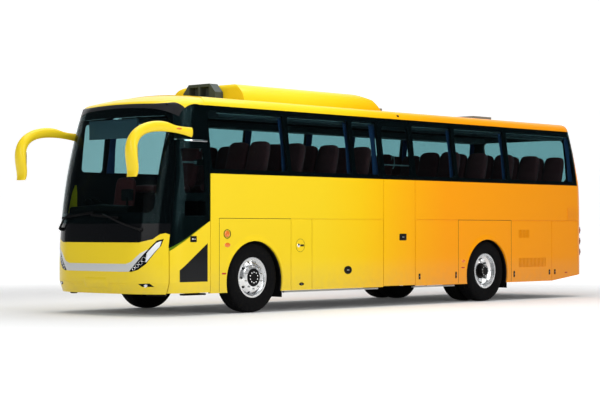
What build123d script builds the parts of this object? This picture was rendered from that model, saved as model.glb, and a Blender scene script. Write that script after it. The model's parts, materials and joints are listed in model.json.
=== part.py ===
import os
from math import asin, cos, pi, radians, sin, sqrt
from build123d import *

os.makedirs("parts", exist_ok=True)

# An electric touring coach, in millimetres. The coach faces -Y, +X is its own left (the door side of a
# right-hand-drive coach), +Z is up from the ground, and the origin is under the middle of its length.
BODY_LENGTH = 10750.0
BODY_WIDTH = 2550.0
ROOF_TOP = 3227.0
MIRROR_REACH = 460.0
FRONT_OVERHANG = 2000.0
WHEELBASE = 5740.0
HALF = BODY_WIDTH / 2
FRONT_Y = MIRROR_REACH - (BODY_LENGTH + MIRROR_REACH) / 2
REAR_Y = FRONT_Y + BODY_LENGTH
FRONT_AXLE_Y = FRONT_Y + FRONT_OVERHANG
REAR_AXLE_Y = FRONT_AXLE_Y + WHEELBASE

# Walls and running clearances
WALL = 45.0
GLASS = 8.0
SEAT = 0.3
GAP = 8.0
OVER = 500.0
ROUNDED = 60.0

# Heights of the body's lines
SKIRT_Z = 312.0
TUCK_Z = 476.0
RAKE_Z = 700.0
WAIST_Z = 1395.0
BELT_Z = 2037.0
ROOF_EDGE_Z = 3034.0
TALL_Z = 3400.0
BAND_LOW_Z = 632.0
BAND_TOP_Z = 742.0
MASK_Z = 1047.0

# Plan of the front: a long bow, a shoulder and a corner; and of the rear: flat between two corners
BOW_RADIUS = 5300.0
BOW_HALF = 620.0
SHOULDER_RADIUS = 900.0
CORNER_RADIUS = 450.0
REAR_CORNER_RADIUS = 250.0
TUCK_SLOPE_SHARE = 0.40
RAKE_RADIUS = 6400.0
REAR_RAKE_RADIUS = 6500.0
REAR_RAKE_Z = 1500.0
LEAN_SHARE = 0.123
CROWN_RADIUS = 8300.0
DOME_RADIUS = 2600.0
DOME_START = 1300.0
DOME_ANGLE = 40.0
ROOF_ROUND = 150.0

# Stations along the left side, measured back from the front axle
DOOR_FRONT_LOW = -1655.0
DOOR_FRONT_TOP = -1470.0
DOOR_FRONT_KINK_Z = 1000.0
DOOR_REAR = -911.0
POST = -736.0
ARCH_REAR_SEAM = 784.0
NARROW_REAR = 1255.0
MIDDLE_FRONT = 2954.0
MIDDLE_REAR = 3769.0
BAY_REAR = 4925.0
REAR_ARCH_SEAM = 6442.0
LOUVRE_REAR = 7681.0
CORNER_SEAM = 8515.0
DOOR_LOW_Z = 326.0
DOOR_TOP_Z = 2516.0
MIDDLE_TOP_Z = 2990.0
HEADER_CORNER = -1366.0
HEADER_CORNER_Z = 2848.0
HEADER_ARC_END = -1020.0
SCREEN_TOP = -1585.0
SCREEN_TOP_Z = 3000.0
TAIL_RISE_Z = 430.0

# Wheels
TYRE_RADIUS = 522.0
TYRE_WIDTH = 298.0
RIM_RADIUS = 298.5
BEAD_RADIUS = 286.0
RIM_WIDTH = 250.0
WHEEL_X = 1100.0
TWIN_PITCH = 335.0
ARCH_RADIUS = 592.0
ARCH_DROP = 50.0


def at(station):
    return FRONT_AXLE_Y + station


def block(x, y, z):
    """A box between pairs of planes."""
    return Pos((x[0] + x[1]) / 2, (y[0] + y[1]) / 2, (z[0] + z[1]) / 2) * Box(
        abs(x[1] - x[0]), abs(y[1] - y[0]), abs(z[1] - z[0]))


def rod(start, end, radius, inner=0):
    """A round bar or tube between two points."""
    a, b = Vector(*start), Vector(*end)
    solid = Solid.make_cylinder(radius, (b - a).length, Plane(a, z_dir=b - a))
    if inner:
        solid = solid - Solid.make_cylinder(inner, (b - a).length, Plane(a, z_dir=b - a))
    return solid


def side_prism(points, x0, x1):
    """An outline in (y, z), carried across from x0 to x1."""
    face = Face(Wire.make_polygon([Vector(x0, y, z) for y, z in points], close=True))
    return extrude(face, amount=x1 - x0, dir=(1, 0, 0))


def front_prism(points, y0, y1):
    """An outline in (x, z), carried back from y0 to y1."""
    face = Face(Wire.make_polygon([Vector(x, y0, z) for x, z in points], close=True))
    return extrude(face, amount=y1 - y0, dir=(0, 1, 0))


def side_window(y, z, radius, x):
    """A round-cornered opening through a side, between pairs of planes."""
    plane = Plane(origin=(x[0], (y[0] + y[1]) / 2, (z[0] + z[1]) / 2), x_dir=(0, 1, 0), z_dir=(1, 0, 0))
    return extrude(plane * RectangleRounded(y[1] - y[0], z[1] - z[0], radius), amount=x[1] - x[0])


def end_window(x, z, radius, y):
    """A round-cornered opening through the front or rear."""
    plane = Plane(origin=((x[0] + x[1]) / 2, y[1], (z[0] + z[1]) / 2), x_dir=(1, 0, 0), z_dir=(0, -1, 0))
    return extrude(plane * RectangleRounded(x[1] - x[0], z[1] - z[0], radius), amount=y[1] - y[0])


def turned(points, side=1):
    """A profile in (x, r) turned about the X axis."""
    face = Face(Wire.make_polygon([Vector(side * x, 0, r) for x, r in points], close=True))
    return revolve(face, Axis.X, 360)


def joined(parts):
    parts = list(parts)
    whole = parts[0]
    for part in parts[1:]:
        whole = whole + part
    return whole


NODES = {}


def save(name, *shapes):
    found = [s for shape in shapes for s in shape.solids()]
    NODES[name] = found[0] if len(found) == 1 else Compound(children=found)
    export_step(NODES[name], f"parts/{name}.step")


def half_width(z):
    """The side is upright to the belt line and leans in above it."""
    return HALF - max(0, z - BELT_Z) * LEAN_SHARE


def front_line(z):
    """The foremost line: tucked under at the bumper, raked back above the bumper on a parabola."""
    tuck = max(0, TUCK_Z - z) * TUCK_SLOPE_SHARE
    return FRONT_Y + tuck + max(0, z - RAKE_Z) ** 2 / (2 * RAKE_RADIUS)


def outline(z, depth):
    """The nose's plan at one height, set in by a depth: lines and arcs, tangent to each other."""
    front, half = front_line(z), half_width(z)
    bow = asin(BOW_HALF / BOW_RADIUS)
    bow_at = (0, front + BOW_RADIUS)
    reach = BOW_RADIUS - SHOULDER_RADIUS
    shoulder_at = (reach * sin(bow), bow_at[1] - reach * cos(bow))
    inset = SHOULDER_RADIUS - CORNER_RADIUS
    turn = asin((half - CORNER_RADIUS - shoulder_at[0]) / inset)
    corner_at = (shoulder_at[0] + inset * sin(turn), shoulder_at[1] - inset * cos(turn))

    def point(centre, radius, angle):
        r = radius - depth
        return Vector(centre[0] + r * sin(angle), centre[1] - r * cos(angle), z)

    def other(v):
        return Vector(-v.X, v.Y, v.Z)

    nose = point(bow_at, BOW_RADIUS, 0)
    a = point(bow_at, BOW_RADIUS, bow)
    ab = point(shoulder_at, SHOULDER_RADIUS, (bow + turn) / 2)
    b = point(shoulder_at, SHOULDER_RADIUS, turn)
    bc = point(corner_at, CORNER_RADIUS, (turn + pi / 2) / 2)
    c = point(corner_at, CORNER_RADIUS, pi / 2)
    d = Vector(c.X, CAP_Y, z)
    return Face(Wire([
        ThreePointArc(other(a), nose, a), ThreePointArc(a, ab, b), ThreePointArc(b, bc, c), Line(c, d),
        Line(d, other(d)), Line(other(d), other(c)), ThreePointArc(other(c), other(bc), other(b)),
        ThreePointArc(other(b), other(ab), other(a))]))


def crown_section(y, depth):
    """A cross-section under the roof's crown, from below the floor up."""
    radius, middle = CROWN_RADIUS - depth, ROOF_TOP - CROWN_RADIUS
    wide = HALF + ROUNDED
    eave = middle + sqrt(radius ** 2 - wide ** 2)
    low = ROOF_TOP - DOME_RADIUS + ROUNDED
    return Face(Wire([
        Line((-wide, y, low), (wide, y, low)), Line((wide, y, low), (wide, y, eave)),
        ThreePointArc((wide, y, eave), (0, y, middle + radius), (-wide, y, eave)),
        Line((-wide, y, eave), (-wide, y, low))]))


def softened(body, depth, keep):
    """Round the roof's rim, apart from the edges that aren't kept."""
    rims = [edge for edge in body.edges()
            if min((edge @ t).Z for t in (0, 0.5, 1)) > ROOF_EDGE_Z - 2 * ROOF_ROUND and keep(edge)]
    return fillet(rims, ROOF_ROUND - depth)


def nose_form(depth):
    """The nose, ahead of the entry door's rear edge: curved in plan, raked, under a domed roof."""
    body = joined([
        loft([outline(SKIRT_Z, depth), outline(TUCK_Z, depth)], ruled=True),
        extrude(outline(TUCK_Z, depth), amount=RAKE_Z - TUCK_Z, dir=(0, 0, 1)),
        loft([outline(z, depth) for z in (RAKE_Z, WAIST_Z, BELT_Z)]),
        loft([outline(z, depth) for z in (BELT_Z, (BELT_Z + TALL_Z) / 2, TALL_Z)])])
    dome_y = FRONT_Y + DOME_START
    section = crown_section(dome_y, depth)
    dome = revolve(section, Axis((0, dome_y, ROOF_TOP - DOME_RADIUS), (1, 0, 0)), DOME_ANGLE)
    lower = block((-HALF - ROUNDED, HALF + ROUNDED), (FRONT_Y - ROUNDED, dome_y), (SKIRT_Z, BELT_Z + ROUNDED))
    crown = extrude(section, amount=CAP_Y - dome_y + ROUNDED, dir=(0, 1, 0))
    lower_rear = block((-HALF, HALF), (dome_y - ROUNDED, CAP_Y), (SKIRT_Z, BELT_Z))
    body = body & (dome + crown + lower + lower_rear)

    def keep(edge):
        middle = edge @ 0.5
        across_dome = abs(middle.Y - dome_y) < GAP and abs(middle.X) < HALF / 2
        return not across_dome and min((edge @ t).Y for t in (0, 0.5, 1)) < CAP_Y - GAP

    return softened(body, depth, keep)


def tail_form(depth):
    """The straight body and the tail: upright to the belt, leaning in above it, raked at the rear."""
    lean = sqrt(1 + LEAN_SHARE ** 2)
    belt = BELT_Z - depth * (lean - 1) / LEAN_SHARE
    top = HALF - (TALL_Z - BELT_Z) * LEAN_SHARE - depth * lean
    side = HALF - depth
    points = [(side, SKIRT_Z), (side, belt), (top, TALL_Z), (-top, TALL_Z), (-side, belt), (-side, SKIRT_Z)]
    body = front_prism(points, CAP_Y, REAR_Y)
    radius, x = REAR_RAKE_RADIUS - depth, -HALF - ROUNDED
    centre_y = REAR_Y - REAR_RAKE_RADIUS
    angle = asin((TALL_Z - REAR_RAKE_Z) / radius)
    low = Vector(x, centre_y + radius, SKIRT_Z)
    start = Vector(x, centre_y + radius, REAR_RAKE_Z)
    middle = Vector(x, centre_y + radius * cos(angle / 2), REAR_RAKE_Z + radius * sin(angle / 2))
    end = Vector(x, centre_y + radius * cos(angle), TALL_Z)
    front_low, front_high = Vector(x, CAP_Y, SKIRT_Z), Vector(x, CAP_Y, TALL_Z)
    profile = Face(Wire([Line(front_low, low), Line(low, start), ThreePointArc(start, middle, end),
                         Line(end, front_high), Line(front_high, front_low)]))
    body = body & extrude(profile, amount=-2 * x, dir=(1, 0, 0))
    body = body & (extrude(crown_section(CAP_Y, depth), amount=BODY_LENGTH, dir=(0, 1, 0))
                   + block((-HALF, HALF), (CAP_Y, REAR_Y), (SKIRT_Z, BELT_Z)))
    corners = [edge for edge in body.edges() if abs((edge @ 0).Z - (edge @ 1).Z) > ROUNDED
               and min((edge @ 0).Y, (edge @ 1).Y) > REAR_Y - 3 * REAR_CORNER_RADIUS]
    body = fillet(corners, REAR_CORNER_RADIUS - depth)
    return softened(body, depth, lambda edge: max((edge @ t).Y for t in (0, 0.5, 1)) > CAP_Y + GAP)


CAP_Y = FRONT_AXLE_Y + DOOR_REAR - GAP / 2
nose = {depth: nose_form(depth) for depth in (0, GLASS, GLASS + SEAT, WALL)}
tail = {depth: tail_form(depth) for depth in (0, GLASS, GLASS + SEAT, WALL)}
NOSE_SKIN, TAIL_SKIN = nose[0] - nose[WALL], tail[0] - tail[WALL]
NOSE_PANES, TAIL_PANES = nose[0] - nose[GLASS], tail[0] - tail[GLASS]
NOSE_REBATE, TAIL_REBATE = nose[0] - nose[GLASS + SEAT], tail[0] - tail[GLASS + SEAT]
NOSE_CUT = nose_form(-SEAT)
CROWN_CUT = extrude(crown_section(FRONT_Y, -SEAT), amount=2 * BODY_LENGTH, dir=(0, 1, 0))

# The seams that divide the skin
WIDE = HALF + OVER
AHEAD = FRONT_Y - OVER
ASTERN = REAR_Y + OVER
BELOW = SKIRT_Z - OVER
ABOVE = TALL_Z + OVER
DOOR_EDGE_GAP = 12.0
POST_SLOPE = (DOOR_FRONT_TOP - DOOR_FRONT_LOW) / (DOOR_TOP_Z - DOOR_FRONT_KINK_Z)
FRAME_GAP = 5.0
FRAME_X = HALF - WALL - FRAME_GAP


def pillar_line(shift=0):
    """The seam behind the front pillar, from the ground up."""
    return [(at(DOOR_FRONT_LOW) + shift, BELOW), (at(DOOR_FRONT_LOW) + shift, DOOR_FRONT_KINK_Z),
            (at(DOOR_FRONT_LOW) + shift + (ABOVE - DOOR_FRONT_KINK_Z) * POST_SLOPE, ABOVE)]


def ahead_of_pillar(shift=0):
    return side_prism(pillar_line(shift) + [(AHEAD, ABOVE), (AHEAD, BELOW)], -WIDE, WIDE)


def roof_region(drop=0):
    """Above the line along the heads of the windscreen and the side glass."""
    slope = (SCREEN_TOP_Z - HEADER_CORNER_Z) / (HEADER_CORNER - SCREEN_TOP)
    start = Vector(-WIDE, at(SCREEN_TOP) - OVER, SCREEN_TOP_Z + OVER * slope - drop)
    corner = Vector(-WIDE, at(HEADER_CORNER), HEADER_CORNER_Z - drop)
    end = Vector(-WIDE, at(HEADER_ARC_END), ROOF_EDGE_Z - drop)
    rise = ROOF_EDGE_Z - HEADER_CORNER_Z
    middle = Vector(-WIDE, corner.Y + (end.Y - corner.Y) * 0.28, corner.Z + rise * 0.70)
    rear = Vector(-WIDE, ASTERN, ROOF_EDGE_Z - drop)
    rear_top = Vector(-WIDE, ASTERN, ABOVE)
    start_top = Vector(-WIDE, start.Y, ABOVE)
    face = Face(Wire([Line(start, corner), ThreePointArc(corner, middle, end), Line(end, rear),
                      Line(rear, rear_top), Line(rear_top, start_top), Line(start_top, start)]))
    return extrude(face, amount=2 * WIDE, dir=(1, 0, 0))


ROOF_ZONE = roof_region(SEAT)
FRONT_ZONE = ahead_of_pillar()
LEFT = block((0, WIDE), (AHEAD, ASTERN), (BELOW, ABOVE))
RIGHT = block((-WIDE, 0), (AHEAD, ASTERN), (BELOW, ABOVE))

# Roof
HATCH_SIZE = 560.0
HATCH_HEIGHT = 60.0
HATCH_CURB = 30.0
HATCH_HINGE = 8.0
HATCH_STATIONS = (3830.0, 6930.0)
roof_zone = roof_region()
roof = (NOSE_SKIN & roof_zone) + (TAIL_SKIN & roof_zone)
for station in HATCH_STATIONS:
    hole = HATCH_SIZE / 2 - HATCH_CURB
    roof = roof - block((-hole, hole), (at(station) - hole, at(station) + hole), (BELT_Z, ABOVE))
save("roof_shell", roof)

# Front: a black frame round the windscreen, the glass and mask on it, and the yellow panels below
SCREEN_LOW_Z = 1318.0
SCREEN_CLEAR_Z = 1470.0
SCREEN_HEAD_Z = 2860.0
SCREEN_HALF = 1000.0
SCREEN_ROUND = 90.0
MASK_RISE = ((0.654, 1.0), (0.80, 1.045), (0.86, 1.110), (0.905, 1.128), (0.96, 1.095), (1.4, 1.095))


def mask_edge(shift=0):
    """The mask's lower edge, level in the middle and rising over the headlamps."""
    right = [(HALF * x, MASK_Z * z + shift) for x, z in MASK_RISE]
    return [(-x, z) for x, z in reversed(right)] + right


above_mask = front_prism(mask_edge() + [(WIDE, ABOVE), (-WIDE, ABOVE)], AHEAD, ASTERN)
below_mask = front_prism(mask_edge(-SEAT) + [(WIDE, BELOW), (-WIDE, BELOW)], AHEAD, ASTERN)
front_upper = (NOSE_SKIN & FRONT_ZONE & above_mask) - ROOF_ZONE
screen_hole = end_window((-SCREEN_HALF, SCREEN_HALF), (SCREEN_CLEAR_Z, SCREEN_HEAD_Z), SCREEN_ROUND,
                         (AHEAD, FRONT_AXLE_Y))
save("front_frame", (front_upper - NOSE_REBATE) - screen_hole)
front_panes = (NOSE_PANES & FRONT_ZONE & above_mask) - ROOF_ZONE
split_low = block((-WIDE, WIDE), (AHEAD, ASTERN), (BELOW, SCREEN_LOW_Z - FRAME_GAP))
split_high = block((-WIDE, WIDE), (AHEAD, ASTERN), (SCREEN_LOW_Z, ABOVE))
save("windscreen", front_panes & split_high)
save("front_mask", front_panes & split_low)

SEAM_X = 618.0
PLATE_SPACING = 380.0
PLATE_Z = 500.0
PLATE_BOLT = 3.5


def plate_holes(y):
    """Two holes for a number plate's screws."""
    return joined(rod((x, y[0], PLATE_Z), (x, y[1], PLATE_Z), PLATE_BOLT)
                  for x in (-PLATE_SPACING / 2, PLATE_SPACING / 2))


WING_SHARES = ((0.489, 1.0), (0.565, 1.039), (0.672, 1.202), (0.748, 1.274))
LAMP_INNER_SHARES = ((0.539, 0.607), (0.652, 0.757), (0.757, 0.906), (0.838, 1.028), (0.896, 1.049))
LAMP_OUTER_SHARES = ((0.875, 0.954), (0.816, 0.846), (0.740, 0.711), (0.652, 0.629), (0.566, 0.601))
FOG_SHARES = ((0.647, 0.440), (0.775, 0.448), (0.809, 0.401), (0.686, 0.400))


def lamp_outline(shares, side):
    return [(side * HALF * x, MASK_Z * z) for x, z in shares]


wing = [(HALF * x, BAND_TOP_Z * z) for x, z in WING_SHARES]
inner_edge = [(HALF * x, MASK_Z * z) for x, z in LAMP_INNER_SHARES]
band_right = wing + [inner_edge[2], inner_edge[1], inner_edge[0], (SEAM_X, BAND_LOW_Z)]
band_outline = band_right + [(-x, z) for x, z in reversed(band_right)]
band_zone = front_prism(band_outline, AHEAD, FRONT_AXLE_Y)
lamp_zones = [front_prism(lamp_outline(LAMP_INNER_SHARES + LAMP_OUTER_SHARES, side), AHEAD, FRONT_AXLE_Y)
              for side in (1, -1)]
fog_zones = [front_prism(lamp_outline(FOG_SHARES, side), AHEAD, FRONT_AXLE_Y) for side in (1, -1)]
front_lower = NOSE_SKIN & FRONT_ZONE & below_mask
save("front_band", (front_lower & band_zone) - lamp_zones[0] - lamp_zones[1])
save("headlamps", *[front_lower & zone for zone in lamp_zones + fog_zones])
rest = front_lower - band_zone
for zone in lamp_zones + fog_zones:
    rest = rest - zone
panel_line = [(HALF * 0.680, MASK_Z * 1.2), (HALF * 0.680, MASK_Z), (inner_edge[2][0], inner_edge[2][1])]
panel_half = [(0, BAND_LOW_Z)] + [(SEAM_X, BAND_LOW_Z)] + [inner_edge[2]] + panel_line[1::-1] + [
    (0, MASK_Z * 1.2)]
panel_zone = front_prism(panel_half + [(-x, z) for x, z in reversed(panel_half[1:-1])], AHEAD, FRONT_AXLE_Y)
save("front_panel", rest & panel_zone)
centre_zone = block((-SEAM_X, SEAM_X), (AHEAD, FRONT_AXLE_Y), (BELOW, BAND_LOW_Z))
save("front_bumper", (rest & centre_zone) - plate_holes((AHEAD, FRONT_Y + 2 * WALL)))
between_corners = block((-SEAM_X - SEAT, SEAM_X + SEAT), (AHEAD, FRONT_AXLE_Y), (BELOW, BAND_LOW_Z))
corners = rest - panel_zone - between_corners
save("front_corners", corners)

# Sides: an upper wall with its band of glass on each side
BAND_Z = BELT_Z + 4.0
WINDOW_LOW_Z = 2110.0
WINDOW_HIGH_Z = 2960.0
WINDOW_ROUND = 60.0
JOINT = 6.0
PILLAR = 45.0
HINGE_BEAD = 5.0
HINGE_SLOP = 0.5
HINGE_NECK = 4.0
HINGE_INSET = 7.0
HINGE_DROP = 12.0
LEFT_PANES = (DOOR_REAR, 770.0, 2265.0, MIDDLE_FRONT)
LEFT_REAR_PANES = (MIDDLE_REAR, 4905.0, 6400.0, CORNER_SEAM)
RIGHT_PANES = (POST, 770.0, 2265.0, 3773.0, 4905.0, 6400.0, CORNER_SEAM)
upright = side_prism(pillar_line(SEAT) + [(ASTERN, ABOVE), (ASTERN, BELOW)], -WIDE, WIDE)
behind_joint = side_prism(pillar_line(JOINT) + [(ASTERN, ABOVE), (ASTERN, BELOW)], -WIDE, WIDE)
above_waist = block((-WIDE, WIDE), (AHEAD, at(CORNER_SEAM)), (WAIST_Z, ABOVE))
band_all = block((-WIDE, WIDE), (AHEAD, ASTERN), (BAND_Z, ABOVE))
band_zone_sides = block((-WIDE, WIDE), (AHEAD, at(CORNER_SEAM) - JOINT), (BAND_Z, ABOVE))
tail_wall = (TAIL_SKIN & above_waist) - ROOF_ZONE - (TAIL_REBATE & band_all)
nose_wall = (NOSE_SKIN & upright & above_waist) - ROOF_ZONE - (NOSE_REBATE & band_all)
tail_glass = (TAIL_PANES & band_zone_sides) - ROOF_ZONE
nose_glass = (NOSE_PANES & band_zone_sides & behind_joint) - ROOF_ZONE
middle_zone = block((0, WIDE), (at(MIDDLE_FRONT), at(MIDDLE_REAR)), (BELOW, MIDDLE_TOP_Z + GAP))
over_door = block((0, WIDE), (AHEAD, CAP_Y), (DOOR_TOP_Z + GAP, ABOVE))


def openings(edges, side):
    """A round-cornered window in each bay between the joints."""
    x = (0, side * WIDE)
    return [side_window((at(a) + PILLAR, at(b) - PILLAR), (WINDOW_LOW_Z, WINDOW_HIGH_Z), WINDOW_ROUND,
                        (min(x), max(x))) for a, b in zip(edges, edges[1:])]


def panes(edges, side):
    x = (0, side * WIDE)
    return [tail_glass & block(x, (at(a) + JOINT / 2, at(b) - JOINT / 2), (BELOW, ABOVE))
            for a, b in zip(edges, edges[1:])]


def hinge_cut(y0, y1, side=1):
    """The socket along a wall's lower edge, open below and outwards, for a flap's hinge bead."""
    x = side * (HALF - HINGE_INSET)
    socket = rod((x, y0, WAIST_Z), (x, y1, WAIST_Z), HINGE_BEAD + HINGE_SLOP)
    return socket + block((x, side * WIDE), (y0, y1), (BELOW, WAIST_Z + HINGE_BEAD + HINGE_SLOP))


FLAPS_LEFT = (("charging_flap", ARCH_REAR_SEAM, NARROW_REAR),
              ("luggage_door_left", NARROW_REAR, MIDDLE_FRONT),
              ("bay_flap_left", MIDDLE_REAR, BAY_REAR), ("louvre_flap_left", REAR_ARCH_SEAM, LOUVRE_REAR),
              ("rear_flap_left", LOUVRE_REAR, CORNER_SEAM))
FLAPS_RIGHT = (("luggage_door_right", ARCH_REAR_SEAM, MIDDLE_FRONT),
               ("bay_door_right", MIDDLE_FRONT, BAY_REAR),
               ("service_flap_right", REAR_ARCH_SEAM, CORNER_SEAM))
jamb = block((0, WIDE), (AHEAD, at(DOOR_REAR)), (BELOW, DOOR_TOP_Z + GAP))
walls = {1: (tail_wall & LEFT) - middle_zone - jamb, -1: (tail_wall & RIGHT) + (nose_wall & RIGHT)}
door_header = nose_wall & over_door & block((0, WIDE), (AHEAD, CAP_Y - SEAT), (BELOW, ABOVE))
for side, flaps in ((1, FLAPS_LEFT), (-1, FLAPS_RIGHT)):
    for name, front, rear in flaps:
        walls[side] = walls[side] - hinge_cut(at(front), at(rear), side)
for hole in openings(LEFT_PANES, 1) + openings(LEFT_REAR_PANES, 1):
    walls[1] = walls[1] - hole
DRIVER_WINDOW = (-1230.0, -790.0)
driver_hole = side_window((at(DRIVER_WINDOW[0]), at(DRIVER_WINDOW[1])),
                          (WINDOW_LOW_Z, WINDOW_HIGH_Z - 3 * WALL), WINDOW_ROUND, (-WIDE, 0))
for hole in openings(RIGHT_PANES, -1) + [driver_hole]:
    walls[-1] = walls[-1] - hole
save("side_wall_left", walls[1], door_header)
save("side_wall_right", walls[-1])
header = nose_glass & over_door & block((0, WIDE), (AHEAD, CAP_Y - SEAT), (BELOW, ABOVE))
over_middle = tail_glass & block((0, WIDE), (at(MIDDLE_FRONT) + JOINT / 2, at(MIDDLE_REAR) - JOINT / 2),
                                 (MIDDLE_TOP_Z + GAP, ABOVE))
save("side_glass_left", *panes(LEFT_PANES, 1), *panes(LEFT_REAR_PANES, 1), header, over_middle)
ahead_of_post = block((-WIDE, 0), (AHEAD, at(POST) - JOINT / 2), (BELOW, ABOVE))
driver_pane = (nose_glass & RIGHT) + (tail_glass & ahead_of_post)
save("side_glass_right", *panes(RIGHT_PANES, -1), driver_pane)

# Lower sides: fixed panels round the arches, and flaps that hinge along the waist
FLARE = 12.0
FLARE_LOW_WIDTH = 28.0
FLARE_RISE = 59.0
FLARE_RUN = 70.0
LOUVRES = ((1088.0, 1232.0, 6670.0, 7040.0), (569.0, 731.0, 6670.0, 7510.0))
SLOT_PITCH = 42.0
SLOT_WIDTH = 18.0
ARCH_Z = TYRE_RADIUS - ARCH_DROP


def tail_wedge():
    """The body's underside rises behind the louvred flap."""
    return side_prism([(at(LOUVRE_REAR), BELOW), (at(LOUVRE_REAR), SKIRT_Z), (REAR_Y + GAP, TAIL_RISE_Z),
                       (ASTERN, TAIL_RISE_Z), (ASTERN, BELOW)], -WIDE, WIDE)


def arch_cut(y, radius=ARCH_RADIUS):
    return rod((-WIDE, y, ARCH_Z), (WIDE, y, ARCH_Z), radius)


def flare(axle, side):
    """A crescent lip over the arch that leans outwards to its lower edge and thins out down both sides."""
    radius = ARCH_RADIUS + FLARE_LOW_WIDTH
    plane = Plane((side * HALF, axle, ARCH_Z + FLARE_RISE), z_dir=(side, 0, 0))
    lip = Solid.make_cone(radius, radius - FLARE_RUN, FLARE, plane)
    return lip & block((-WIDE, WIDE), (AHEAD, ASTERN), (SKIRT_Z + ROUNDED, WAIST_Z))


def fixed_panel(front, rear, side, axle):
    x = (side * (FRAME_X + SEAT), side * HALF)
    panel = block(x, (at(front) + SEAT, at(rear) - GAP / 2), (SKIRT_Z, WAIST_Z - SEAT))
    return (panel + flare(axle, side)) - arch_cut(axle)


def flap(front, rear, side):
    """A flat flap with a bead along its top edge."""
    y = (at(front) + GAP / 2, at(rear) - GAP / 2)
    x = side * (HALF - HINGE_INSET)
    plate = block((side * (HALF - WALL), side * HALF), y, (SKIRT_Z, WAIST_Z - HINGE_DROP))
    neck = block((x - HINGE_NECK / 2, x + HINGE_NECK / 2), y, (WAIST_Z - HINGE_DROP, WAIST_Z))
    bead = rod((x, y[0], WAIST_Z), (x, y[1], WAIST_Z), HINGE_BEAD)
    return (plate + neck + bead) - tail_wedge()


def louvred(panel, side):
    for low, high, front, rear in LOUVRES:
        count = int((rear - front) / SLOT_PITCH)
        for i in range(count):
            y = at(front) + i * SLOT_PITCH
            panel = panel - block((side * (HALF - WALL - GAP), side * WIDE), (y, y + SLOT_WIDTH), (low, high))
    return panel


save("arch_panels_left", fixed_panel(POST, ARCH_REAR_SEAM, 1, FRONT_AXLE_Y),
     fixed_panel(BAY_REAR, REAR_ARCH_SEAM, 1, REAR_AXLE_Y),
     block((FRAME_X + SEAT, HALF), (at(DOOR_REAR), at(POST)), (SKIRT_Z, WAIST_Z - SEAT)))
under_waist = block((-WIDE, 0), (AHEAD, at(POST)), (BELOW, WAIST_Z - SEAT))
driver_lower = (NOSE_SKIN & upright & under_waist) + (TAIL_SKIN & under_waist)
save("arch_panels_right", fixed_panel(POST, ARCH_REAR_SEAM, -1, FRONT_AXLE_Y),
     fixed_panel(BAY_REAR, REAR_ARCH_SEAM, -1, REAR_AXLE_Y),
     driver_lower)
for side, flaps in ((1, FLAPS_LEFT), (-1, FLAPS_RIGHT)):
    for name, front, rear in flaps:
        panel = flap(front, rear, side)
        if name == "louvre_flap_left":
            panel = louvred(panel, side)
        save(name, panel)

# Rear: wall with window, hatch, lamps and bumper
REAR_BUMPER_Z = 560.0
REAR_WINDOW_HALF = 960.0
REAR_WINDOW_Z = (2080.0, 2940.0)
REAR_HATCH_HALF = 880.0
REAR_HATCH_Z = (600.0, 1480.0)
TAIL_LAMP_X = (1040.0, 1200.0)
TAIL_LAMP_Z = (700.0, 1340.0)
rear_skin = (TAIL_SKIN & block((-WIDE, WIDE), (at(CORNER_SEAM) + SEAT, ASTERN), (BELOW, ABOVE))) - ROOF_ZONE
hatch_zone = block((-REAR_HATCH_HALF, REAR_HATCH_HALF), (REAR_Y - 2 * WALL, ASTERN),
                   (REAR_HATCH_Z[0], REAR_HATCH_Z[1]))
lamp_blocks = [block((side * TAIL_LAMP_X[0], side * TAIL_LAMP_X[1]), (at(CORNER_SEAM), ASTERN), TAIL_LAMP_Z)
               for side in (1, -1)]
rear_wall = rear_skin & block((-WIDE, WIDE), (AHEAD, ASTERN), (REAR_BUMPER_Z, ABOVE))
rear_hole = end_window((-REAR_WINDOW_HALF, REAR_WINDOW_HALF), REAR_WINDOW_Z, SCREEN_ROUND,
                       (at(CORNER_SEAM), ASTERN))
rear_clear = end_window((-REAR_WINDOW_HALF + WALL, REAR_WINDOW_HALF - WALL),
                        (REAR_WINDOW_Z[0] + WALL, REAR_WINDOW_Z[1] - WALL), SCREEN_ROUND, (at(CORNER_SEAM), ASTERN))
hinge_y = REAR_Y - HINGE_INSET
rear_socket = rod((-REAR_HATCH_HALF, hinge_y, REAR_HATCH_Z[1]), (REAR_HATCH_HALF, hinge_y, REAR_HATCH_Z[1]),
                  HINGE_BEAD + HINGE_SLOP)
rear_socket = rear_socket + block((-REAR_HATCH_HALF, REAR_HATCH_HALF), (hinge_y, ASTERN),
                                  (REAR_HATCH_Z[0], REAR_HATCH_Z[1] + HINGE_BEAD + HINGE_SLOP))
rear_wall = rear_wall - hatch_zone - lamp_blocks[0] - lamp_blocks[1]
save("rear_wall", rear_wall - (TAIL_REBATE & rear_hole) - rear_clear
     - rear_socket)
save("rear_window", TAIL_PANES & end_window((-REAR_WINDOW_HALF + SEAT, REAR_WINDOW_HALF - SEAT),
                                       (REAR_WINDOW_Z[0] + SEAT, REAR_WINDOW_Z[1] - SEAT), SCREEN_ROUND,
                                       (at(CORNER_SEAM), ASTERN)))
lamp_inner = [block((side * (TAIL_LAMP_X[0] + SEAT), side * (TAIL_LAMP_X[1] - SEAT)),
                    (at(CORNER_SEAM) + SEAT, ASTERN), (TAIL_LAMP_Z[0] + SEAT, TAIL_LAMP_Z[1] - SEAT))
              for side in (1, -1)]
save("tail_lamps", *[TAIL_SKIN & zone for zone in lamp_inner])
hatch_x = (-REAR_HATCH_HALF + GAP, REAR_HATCH_HALF - GAP)
hatch = block(hatch_x, (REAR_Y - WALL, REAR_Y), (REAR_HATCH_Z[0] + GAP, REAR_HATCH_Z[1] - HINGE_DROP))
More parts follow.
